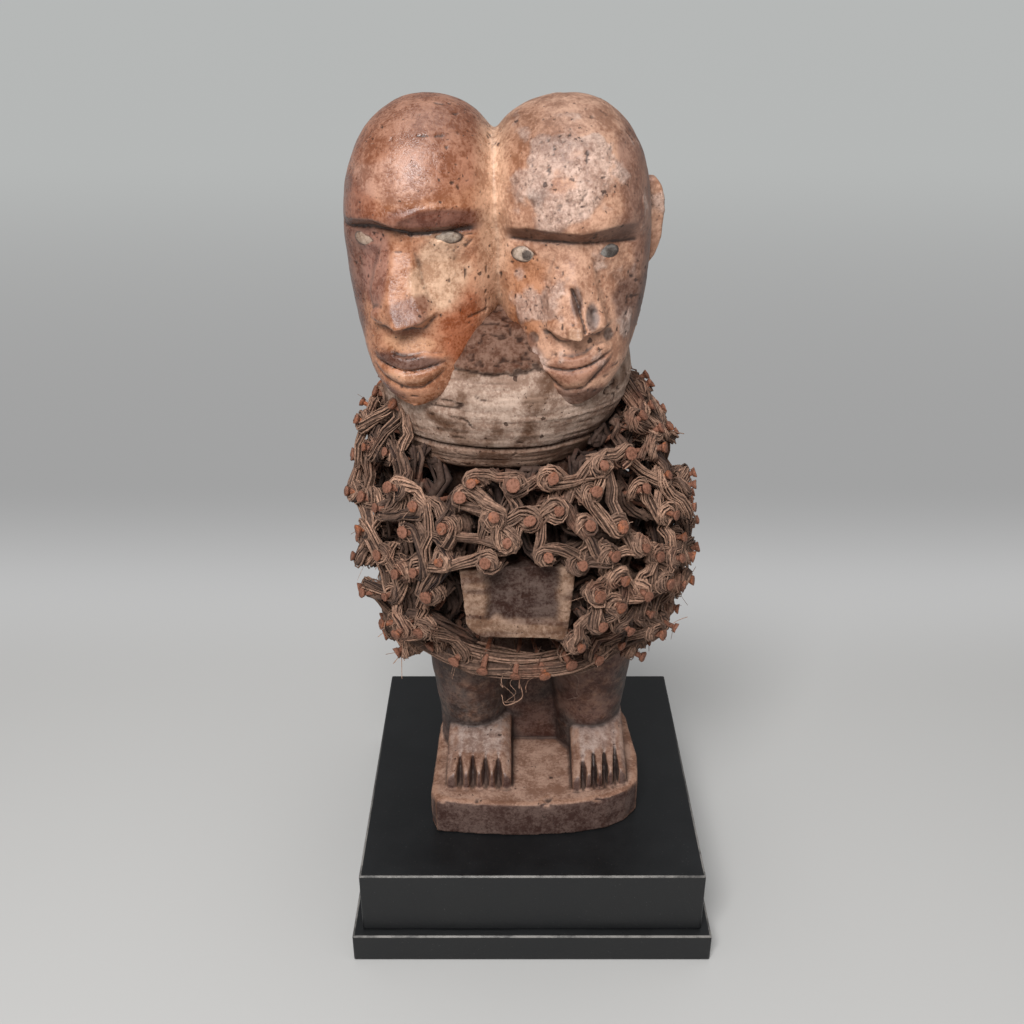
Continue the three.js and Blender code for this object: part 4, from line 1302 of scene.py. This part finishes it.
def nail_template():
    """A nail along z, its head's top at 0 and the end of its shank far below."""
    nail = bmesh.new()
    disc = bmesh.ops.create_cone(nail, segments=9, radius1=2.6, radius2=3.7, depth=2.4, cap_ends=True)
    bmesh.ops.translate(nail, verts=disc["verts"], vec=(0, 0, -1.2))
    rim = [edge for edge in nail.edges if all(vert.co.z > -0.1 for vert in edge.verts)]
    round_edges(nail, rim, 0.6, 2)
    shank = bmesh.ops.create_cone(nail, segments=6, radius1=0.9, radius2=1.9, depth=1, cap_ends=True)
    bmesh.ops.translate(nail, verts=shank["verts"], vec=(0, 0, -0.5))
    for vert in shank["verts"]:
        vert.co.z = SHANK_END if vert.co.z < -0.5 else -1.5
    return nail


def nails_mesh(name, chosen, seed):
    template = mesh_of(nail_template(), "nail")
    base = read_points(template)
    chance = np.random.default_rng(seed)
    whole = bmesh.new()
    for i in chosen:
        size = chance.uniform(0.78, 1.12)
        points = base * [size, size * chance.uniform(0.82, 1.0), size]
        points[base[:, 2] == SHANK_END, 2] = -LENGTHS[i]
        points[:, 0] += 1.2 * np.sin(points[:, 2] / 14) * chance.uniform(-1, 1)
        points += chance.uniform(-0.22, 0.22, points.shape)
        turned = Vector(direction[i]).to_track_quat("Z", "Y").to_matrix()
        tilted = turned @ Matrix.Rotation(chance.uniform(-0.2, 0.2), 3, "X")
        matrix = np.array(tilted @ Matrix.Rotation(chance.uniform(0, 6.28), 3, "Z"))
        placed = template.copy()
        write_points(placed, points @ matrix.T + HEADS_AT[i])
        take_in(whole, placed)
    return mesh_of(whole, name)


BANDS = {"low": (0, 158), "middle": (158, 220), "high": (220, 400)}
BOUND_NAILS = {band: [f"bound_nails_{band}_{i}" for i in range(1, 6)] for band in BANDS}
FREE_NAILS = {band: [] for band in BANDS}
FREE_NAILS["middle"] = [f"nail_{i}" for i in range(1, 7)]
FREE_NAILS["high"] = [f"nail_{i}" for i in range(7, 13)]


def in_band(band):
    low, high = BANDS[band]
    return np.flatnonzero((level >= low) & (level < high))


for seed, band in enumerate(BANDS):
    mesh = nails_mesh("nails_" + band, in_band(band), seed)
    finished(mesh, "nails_" + band, "rusted_iron", RUSTED_IRON, *BOUND_NAILS[band], *FREE_NAILS[band])

# %% [markdown]
# Hanks of plant fibre run from nail to nail. Each is a loose bundle that comes
# up along one shank, bends round it behind the head, crosses to the next nail,
# bends round that and goes in again. A bundle is drawn as about a dozen thin
# strands round a darker core, whose dark tone is painted shade between the
# strands. They twist about its middle line and wander a little, because parallel
# fibres are what the eye reads as cord. Thicker hanks lie deeper, with a darker
# tone that is painted shade under the outer ones, three ropes tie the hem nails,
# and broken fibres hang loose. Strands are poly curves with a bevel, turned into
# a mesh once all are drawn.

# %% Cord routes
def pairs_between(chosen, nearest, farthest, links, seed):
    """Neighbouring nails to tie together, each pair once."""
    chance = np.random.default_rng(seed)
    full_turn = 2 * math.pi * BARREL_RADIUS
    around = turn * BARREL_RADIUS
    pairs = set()
    for i in chosen[~at_hem[chosen]]:
        ahead = (around - around[i] + full_turn / 2) % full_turn - full_turn / 2
        gap = np.hypot(ahead, level - level[i])
        near = np.flatnonzero((gap > nearest) & (gap < farthest) & (ahead > -4) & ~at_hem)
        for j in near[np.argsort(gap[near] + chance.uniform(0, 12, len(near)))][:links]:
            pairs.add((min(i, j), max(i, j)))
    return np.array(sorted(pairs))


def resample(points, count):
    """Smooths control points (routes, controls, 3) into evenly counted points."""
    controls = points.shape[1]
    at = np.linspace(0, controls - 1, count)
    index = np.minimum(at.astype(int), controls - 2)
    t = (at - index)[None, :, None]
    before = points[:, np.maximum(index - 1, 0)]
    start = points[:, index]
    end = points[:, index + 1]
    after = points[:, np.minimum(index + 2, controls - 1)]
    return 0.5 * (
        2 * start
        + (end - before) * t
        + (2 * before - 5 * start + 4 * end - after) * t**2
        + (3 * start - before - 3 * end + after) * t**3
    )


def unit(vectors):
    return vectors / np.maximum(np.linalg.norm(vectors, axis=-1, keepdims=True), 1e-9)


def bend_round(nail, toward, spin, depth, tail):
    """From behind a nail's shank, round it, and off towards a target."""
    axis = direction[nail]
    ahead = unit(toward - axis * np.einsum("ij,ij->i", toward, axis)[:, None])
    side = np.cross(axis, ahead) * spin[:, None]
    points = []
    for angle, deep in ((290, tail), (235, 0.4 * tail), (180, 0.1 * tail), (130, 0), (90, 0)):
        place = ahead * math.cos(math.radians(angle)) + side * math.sin(math.radians(angle))
        points.append(HEADS_AT[nail] - axis * (depth + deep)[:, None] + 4.0 * place)
    return points


def routes(pairs, depth, sag, tail, count, seed):
    """Middle lines of the hanks between pairs of nails."""
    chance = np.random.default_rng(seed)
    a, b = pairs.T
    some = len(pairs)
    run = HEADS_AT[b] - HEADS_AT[a]
    ends = []
    for nail, toward in ((a, run), (b, -run)):
        spin = chance.choice([-1, 1], some)
        deep = depth + chance.uniform(-1.0, 4.5, some)
        ends.append(bend_round(nail, toward, spin, deep, tail * chance.uniform(0.5, 1.2, some)))
    first, last = ends[0], ends[1][::-1]
    middle = []
    for share in (0.33, 0.67):
        point = first[-1] + (last[0] - first[-1]) * share
        inward = unit((point - [-10, 0, 0]) * [1, 1, 0])
        point = point - inward * (sag + chance.uniform(-2.5, 2.5, some))[:, None]
        middle.append(point + chance.uniform(-2.2, 2.2, point.shape))
    return resample(np.stack([*first, *middle, *last], axis=1), count)


def strands(paths, count, spread, seed, hollow=0.0):
    """Splits each route into twisted strands: (routes * count, points, 3)."""
    chance = np.random.default_rng(seed)
    some, points = paths.shape[:2]
    along = unit(np.gradient(paths, axis=1))
    out = unit((paths + [10, 0, 0]) * [1, 1, 0])
    side = unit(np.cross(along, out))
    up = np.cross(side, along)
    share = np.linspace(0, 1, points)[None, :]
    uneven = resample(chance.normal(size=(some, 6, 1)), points)[..., 0]
    squeeze = 0.8 + 0.2 * np.sin(np.pi * share) + 0.12 * uneven
    twist = chance.choice([-1, 1], (some, 1)) * chance.uniform(0.8, 2.6, (some, 1)) * share * math.pi
    made = []
    for strand in range(count):
        away = (hollow + (1 - hollow) * math.sqrt((strand + 0.5) / count)) * spread * squeeze
        phase = 2.4 * strand + twist
        sideways = side * (away * np.cos(phase))[..., None]
        made.append(paths + sideways + up * (0.9 * away * np.sin(phase))[..., None])
    lines = np.stack(made, axis=1).reshape(-1, points, 3)
    return lines + resample(chance.normal(0, 0.17 * spread, (len(lines), 8, 3)), points)


def windings(chosen, seed):
    """Strands wound along each shank behind its head."""
    chance = np.random.default_rng(seed)
    axis = direction[chosen]
    side = unit(np.cross(axis, [0, 0, 1]))
    up = np.cross(side, axis)
    share = np.linspace(0, 1, 12)
    some = len(chosen)
    made = []
    for _ in range(3):
        angle = chance.uniform(0, 6.28, some)[:, None] + chance.uniform(2, 6, some)[:, None] * share
        deep = chance.uniform(4.5, 9, some)[:, None] + chance.uniform(8, 28, some)[:, None] * share
        wide = chance.uniform(2.3, 3.6, some)[:, None] * (1 + 0.15 * np.sin(5 * angle))
        sideways = side[:, None] * (wide * np.cos(angle))[..., None]
        ring = sideways + up[:, None] * (wide * np.sin(angle))[..., None]
        made.append(HEADS_AT[chosen][:, None] - axis[:, None] * deep[..., None] + ring)
    return np.concatenate(made)


def loose_fibres(chosen, count, seed):
    """Broken fibres that stand away from the hanks and droop."""
    chance = np.random.default_rng(seed)
    nails = chance.choice(chosen, count)
    axis = direction[nails]
    away = 0.8 * unit(np.cross(axis, chance.normal(size=(count, 3))))
    away = away + chance.uniform(0, 0.6, count)[:, None] * axis
    bend = unit(chance.normal(size=(count, 3)) + [0, 0, -0.6])
    start = HEADS_AT[nails] - axis * chance.uniform(3, 7, count)[:, None]
    reach = chance.uniform(4, 10, count)[:, None, None] * np.linspace(0, 1, 9)[None, :, None]
    return start[:, None] + away[:, None] * reach + bend[:, None] * reach**2 / 9


def hem_fibres():
    """A few long broken fibres that hang and curl below the rope in front."""
    chance = np.random.default_rng(8)
    share = np.linspace(0, 1, 22)
    made = []
    for angle, long in ((-0.16, 27), (-0.08, 30), (0.0, 20), (0.07, 16), (0.3, 18)):
        sway = resample(chance.normal(0, 4.5, (1, 6, 3)), 22)[0] * np.sqrt(share)[:, None]
        x = axis_x(HEM_LEVEL) + (HEM_RADIUS + 2) * math.sin(angle)
        start = np.array([x, -(HEM_RADIUS + 2) * math.cos(angle), HEM_LEVEL + STAND_TOP])
        made.append(start + np.outer(share, [10 * chance.uniform(-1, 1), -2, -long]) + sway)
    return np.array(made)


def hem_routes(side):
    """Half of the three level ropes that tie the lowest nails, front or back."""
    middle = 0 if side == "front" else math.pi
    angle = np.linspace(middle - 1.7, middle + 1.7, 60)
    routes = []
    for inward, above, phase in ((0, 0, 0.0), (6, 5, 1.7), (9, 0, 3.1)):
        around = HEM_RADIUS - inward + 2 * np.sin(5 * angle + phase) + 12 * smooth(0.85, 0.4, np.cos(angle))
        height = HEM_LEVEL + above + 2 * np.sin(4 * angle + 1 + phase) + 9 * smooth(0.93, 0.6, np.cos(angle))
        x = axis_x(height) + around * np.sin(angle)
        routes.append(np.stack([x, -around * np.cos(angle), height + STAND_TOP], axis=1))
    return np.array(routes)


print("links between low nails:", len(pairs_between(in_band("low"), 12, 36, 2, 0)))


# %% Fibre cord material
def fibre_cord():
    material, nodes, shader = new_material("fibre_cord")
    tone = nodes.attribute("tone")
    place = nodes.object_place()
    speck = nodes.cloud(place, 500.0, 3.0, 0.6)
    broad = nodes.cloud(place, 45.0, 3.0, 0.6)
    # Low tones, given to the cores and the deeper hanks, are painted shade.
    base = nodes.mix(tone, paint(36, 20, 15), paint(186, 146, 122))
    reddish = nodes.mix(nodes.ramp(broad, 0.52, 0.7, 0.0, 0.35), base, paint(132, 78, 54))
    varied = nodes.mix(nodes.ramp(speck, 0.6, 0.35, 0.0, 0.5), reddish, paint(46, 27, 20))
    nodes.link(varied, shader.inputs["Base Color"])
    nodes.link(nodes.ramp(speck, 0.3, 0.7, 0.95, 0.75), shader.inputs["Roughness"])
    nodes.relief(shader, 0.5, 0.0004, speck)
    return material


FIBRE_CORD = fibre_cord()
print("material", FIBRE_CORD.name)


# %% Draw the strands
CAP_RINGS = 2  # a closed tube has two more rings of points, one at each cap


def strand_tubes(name, lines, thickness, per_hank, tone, chance):
    """A mesh of closed four-sided tubes, each strand with a tone of its own."""
    curve = bpy.data.curves.new(name, "CURVE")
    curve.dimensions = "3D"
    curve.bevel_depth = 1.0
    curve.bevel_resolution = 0
    curve.use_fill_caps = True
    count = lines.shape[1]
    fourth = np.ones((count, 1))
    for points in lines:
        spline = curve.splines.new("POLY")
        spline.points.add(count - 1)
        spline.points.foreach_set("co", np.concatenate([points, fourth], axis=1).ravel())
        size = thickness * chance.uniform(0.55, 1.5) * (1 + chance.normal(0, 0.12, count))
        spline.points.foreach_set("radius", size)
    holder = bpy.data.objects.new(name, curve)
    tubes = bpy.data.meshes.new_from_object(holder)
    bpy.data.objects.remove(holder)
    bpy.data.curves.remove(curve)
    sides = len(tubes.vertices) // (len(lines) * (count + CAP_RINGS))
    hank_tone = np.repeat(chance.normal(tone, 0.3 * tone, -(-len(lines) // per_hank)), per_hank)[: len(lines)]
    tones = np.clip(hank_tone + chance.normal(0, 0.3 * tone, len(lines)), 0, 1)
    caps = np.repeat(tones, CAP_RINGS * sides)
    write_value(tubes, "tone", np.concatenate([caps, np.repeat(tones, count * sides)]))
    return tubes


def cord_mesh(name, groups, seed):
    """One mesh of several groups of (lines, thickness, strands per hank, tone)."""
    chance = np.random.default_rng(seed)
    whole = bmesh.new()
    for lines, thickness, per_hank, tone in groups:
        take_in(whole, strand_tubes(name, lines, thickness, per_hank, tone, chance))
    return mesh_of(whole, name)


def half_of(pairs, side):
    """The pairs whose middle is on the front or the back half."""
    a, b = pairs.T
    ahead = HEADS_AT[a, 1] + HEADS_AT[b, 1] < 0
    return pairs[ahead if side == "front" else ~ahead]


def hank(paths, count, spread, thickness, tone, seed, hollow=0.0):
    """A group of strands that twist round the same middle lines."""
    return strands(paths, count, spread, seed, hollow), thickness, count, tone


OUTER_SHARE = 0.84  # of the outer pairs of nails, the share that is tied together
OUTER_STRANDS = {"front": 13, "back": 10}
OUTER_POINTS = {"front": 16, "back": 14}
HEM_SEED = 5

for seed, band in enumerate(BANDS):
    chosen = in_band(band)
    outer_pairs = pairs_between(chosen, nearest=12, farthest=34, links=2, seed=seed)
    long_pairs = pairs_between(chosen[::3], nearest=34, farthest=54, links=1, seed=seed + 30)
    outer_pairs = np.array(sorted({*map(tuple, outer_pairs), *map(tuple, long_pairs)}))
    outer_pairs = outer_pairs[np.random.default_rng(seed).random(len(outer_pairs)) < OUTER_SHARE]
    inner_pairs = pairs_between(chosen, nearest=18, farthest=46, links=1, seed=seed + 10)
    deep_pairs = pairs_between(chosen, nearest=16, farthest=50, links=1, seed=seed + 20)
    for side in ("front", "back"):
        name = f"cords_{band}_{side}"
        near = chosen[(HEADS_AT[chosen, 1] < 0) == (side == "front")]
        points = OUTER_POINTS[side]
        outer = routes(half_of(outer_pairs, side), depth=5.2, sag=2.0, tail=7, count=points, seed=seed)
        inner = routes(half_of(inner_pairs, side), depth=17.0, sag=4.0, tail=4, count=10, seed=seed + 10)
        deep = routes(half_of(deep_pairs, side), depth=30.0, sag=3.0, tail=4, count=8, seed=seed + 20)
        many = OUTER_STRANDS[side]
        # The cores, inner and deep hanks get low tones: painted shade between the strands and under the outer
        # hanks.
        groups = [
            hank(outer, many, spread=2.9, thickness=0.5, tone=0.5, seed=seed, hollow=0.7),
            hank(outer, 2, spread=1.0, thickness=1.5, tone=0.2, seed=seed),
            hank(inner, 5, spread=3.2, thickness=1.1, tone=0.2, seed=seed),
            hank(deep, 4, spread=4.6, thickness=1.9, tone=0.08, seed=seed),
            (windings(near, seed), 0.5, 1, 0.4),
            (loose_fibres(near, 44, seed), 0.2, 1, 0.7),
        ]
        if band == "low":
            ropes = hem_routes(side)
            groups.append(hank(ropes, 16, spread=4.4, thickness=0.55, tone=0.4, seed=HEM_SEED, hollow=0.6))
            # The rope cores' low tone is painted shade inside the ropes.
            groups.append(hank(ropes, 3, spread=2.0, thickness=2.0, tone=0.2, seed=HEM_SEED))
        if name == "cords_low_front":
            groups.append((hem_fibres(), 0.28, 1, 0.75))
        finished(cord_mesh(name, groups, seed), name, "fibre_cord", FIBRE_CORD, *BOUND_NAILS[band])

# %% [markdown]
# The plinth is a museum stand in satin black paint: an upper block on a wider
# slab. Its corners are hardly rounded, and along the upper edges in front the
# paint is rubbed through to grey, a pale line that is also a painted highlight
# along those edges. An attribute marks the points of those edges.

# %% Plinth
def black_paint():
    material, nodes, shader = new_material("black_paint")
    place = nodes.object_place()
    cloud = nodes.cloud(place, 30.0, 5.0, 0.6)
    speck = nodes.cloud(place, 800.0, 2.0, 0.5)
    base = nodes.mix(cloud, paint(12, 13, 14), paint(22, 23, 25))
    scuffs = nodes.ramp(nodes.cloud(place, 60.0, 5.0, 0.7), 0.34, 0.6, 0.25, 1.0)
    # The pale line along the marked edges is rubbed paint and a painted highlight.
    worn_and_highlight = nodes.math("MULTIPLY", nodes.ramp(nodes.attribute("edge"), 0.55, 1.0), scuffs)
    rubbed_and_highlight = nodes.mix(worn_and_highlight, base, paint(132, 128, 124))
    dust = nodes.ramp(speck, 0.7, 0.76, 0.0, 0.2)
    nodes.link(nodes.mix(dust, rubbed_and_highlight, paint(120, 120, 118)), shader.inputs["Base Color"])
    nodes.link(nodes.ramp(cloud, 0.3, 0.7, 0.38, 0.52), shader.inputs["Roughness"])
    nodes.relief(shader, 0.15, 0.0003, speck)
    return material


BLACK_PAINT = black_paint()
PLINTH_STEPS = [(112, 0, 20), (106, 20, 64)]  # half width, underside and top
RUBBED_AND_HIGHLIGHT_EDGE = 1.0
SOUND_EDGE = 0.5
LARGE_FACE = 500  # square millimetres


def plinth_mesh():
    whole = bmesh.new()
    for half, low, high in PLINTH_STEPS:
        step = block((2 * half, 2 * half, high - low), (0, 0, (high + low) / 2))
        round_edges(step, step.edges[:], 1.1)
        sides = [face for face in step.faces if face.calc_area() > LARGE_FACE]
        edge_mark = step.verts.layers.float.new("edge")
        for vert in step.verts:
            # Upper front edges get the pale line: rubbed paint and a painted highlight.
            upper_front = vert.co.z > high - 0.6 and vert.co.y < 0
            vert[edge_mark] = RUBBED_AND_HIGHLIGHT_EDGE if upper_front else SOUND_EDGE
        bmesh.ops.inset_individual(step, faces=sides, thickness=1.2)
        for vert in {vert for face in sides for vert in face.verts}:
            vert[edge_mark] = 0.0
        take_in(whole, mesh_of(step, "step"))
    return mesh_of(whole, "plinth")


finished(plinth_mesh(), "plinth_painted", "black_paint", BLACK_PAINT, "plinth")

# %% [markdown]
# The studio is a pale sheet that turns into a grey wall behind the figure. A
# real wall would block the views from behind, so the sheet stays flat and its
# colour changes from pale to grey with distance, as the photograph shows it.

# %% Studio floor and light
def studio_sheet():
    material, nodes, shader = new_material("studio_sheet")
    place = nodes.object_place()
    split = nodes.add("ShaderNodeSeparateXYZ")
    nodes.link(place, split.inputs[0])
    # Far from the figure the sheet is black and glows instead: painted light of a grey wall, pale near the
    # floor, darkest a little further back and grey behind.
    far = nodes.ramp(split.outputs["Y"], 0.15, 0.4)
    nodes.link(nodes.mix(far, paint(190, 189, 187), (0, 0, 0, 1)), shader.inputs["Base Color"])
    foot = nodes.ramp(split.outputs["Y"], 0.25, 0.6)
    low_wall = nodes.mix(foot, paint(194, 194, 194), paint(160, 160, 160))
    wall = nodes.ramp(split.outputs["Y"], 0.6, 3.0)
    glow = nodes.mix(wall, low_wall, paint(179, 181, 180))
    nodes.link(nodes.mix(far, (0, 0, 0, 1), glow), shader.inputs["Emission Color"])
    shader.inputs["Emission Strength"].default_value = 1.0
    shader.inputs["Roughness"].default_value = 0.8
    shader.inputs["Specular IOR Level"].default_value = 0.2
    return material


sheet = bmesh.new()
bmesh.ops.create_grid(sheet, x_segments=1, y_segments=1, size=60)
floor = bpy.data.objects.new("studio_sheet", mesh_of(sheet, "studio_sheet"))
floor.data.materials.append(studio_sheet())
bpy.context.scene.collection.objects.link(floor)


def area_light(name, place, aim, size, power):
    data = bpy.data.lights.new(name, "AREA")
    data.shape = "RECTANGLE"
    data.size, data.size_y = size
    data.energy = power
    light = bpy.data.objects.new(name, data)
    light.location = place
    light.rotation_euler = (Vector(aim) - Vector(place)).to_track_quat("-Z", "Y").to_euler()
    bpy.context.scene.collection.objects.link(light)


area_light("key", (-0.25, -1.1, 1.4), (0, 0, 0.3), (0.7, 0.5), 27)
area_light("top", (0, 0.1, 1.9), (0, 0, 0.2), (1.2, 1.2), 9)
world = bpy.data.worlds.new("studio")
world.use_nodes = True
world.node_tree.nodes["Background"].inputs["Color"].default_value = (0.62, 0.63, 0.64, 1)
world.node_tree.nodes["Background"].inputs["Strength"].default_value = 0.4
bpy.context.scene.world = world
bpy.context.scene.view_settings.view_transform = "Standard"
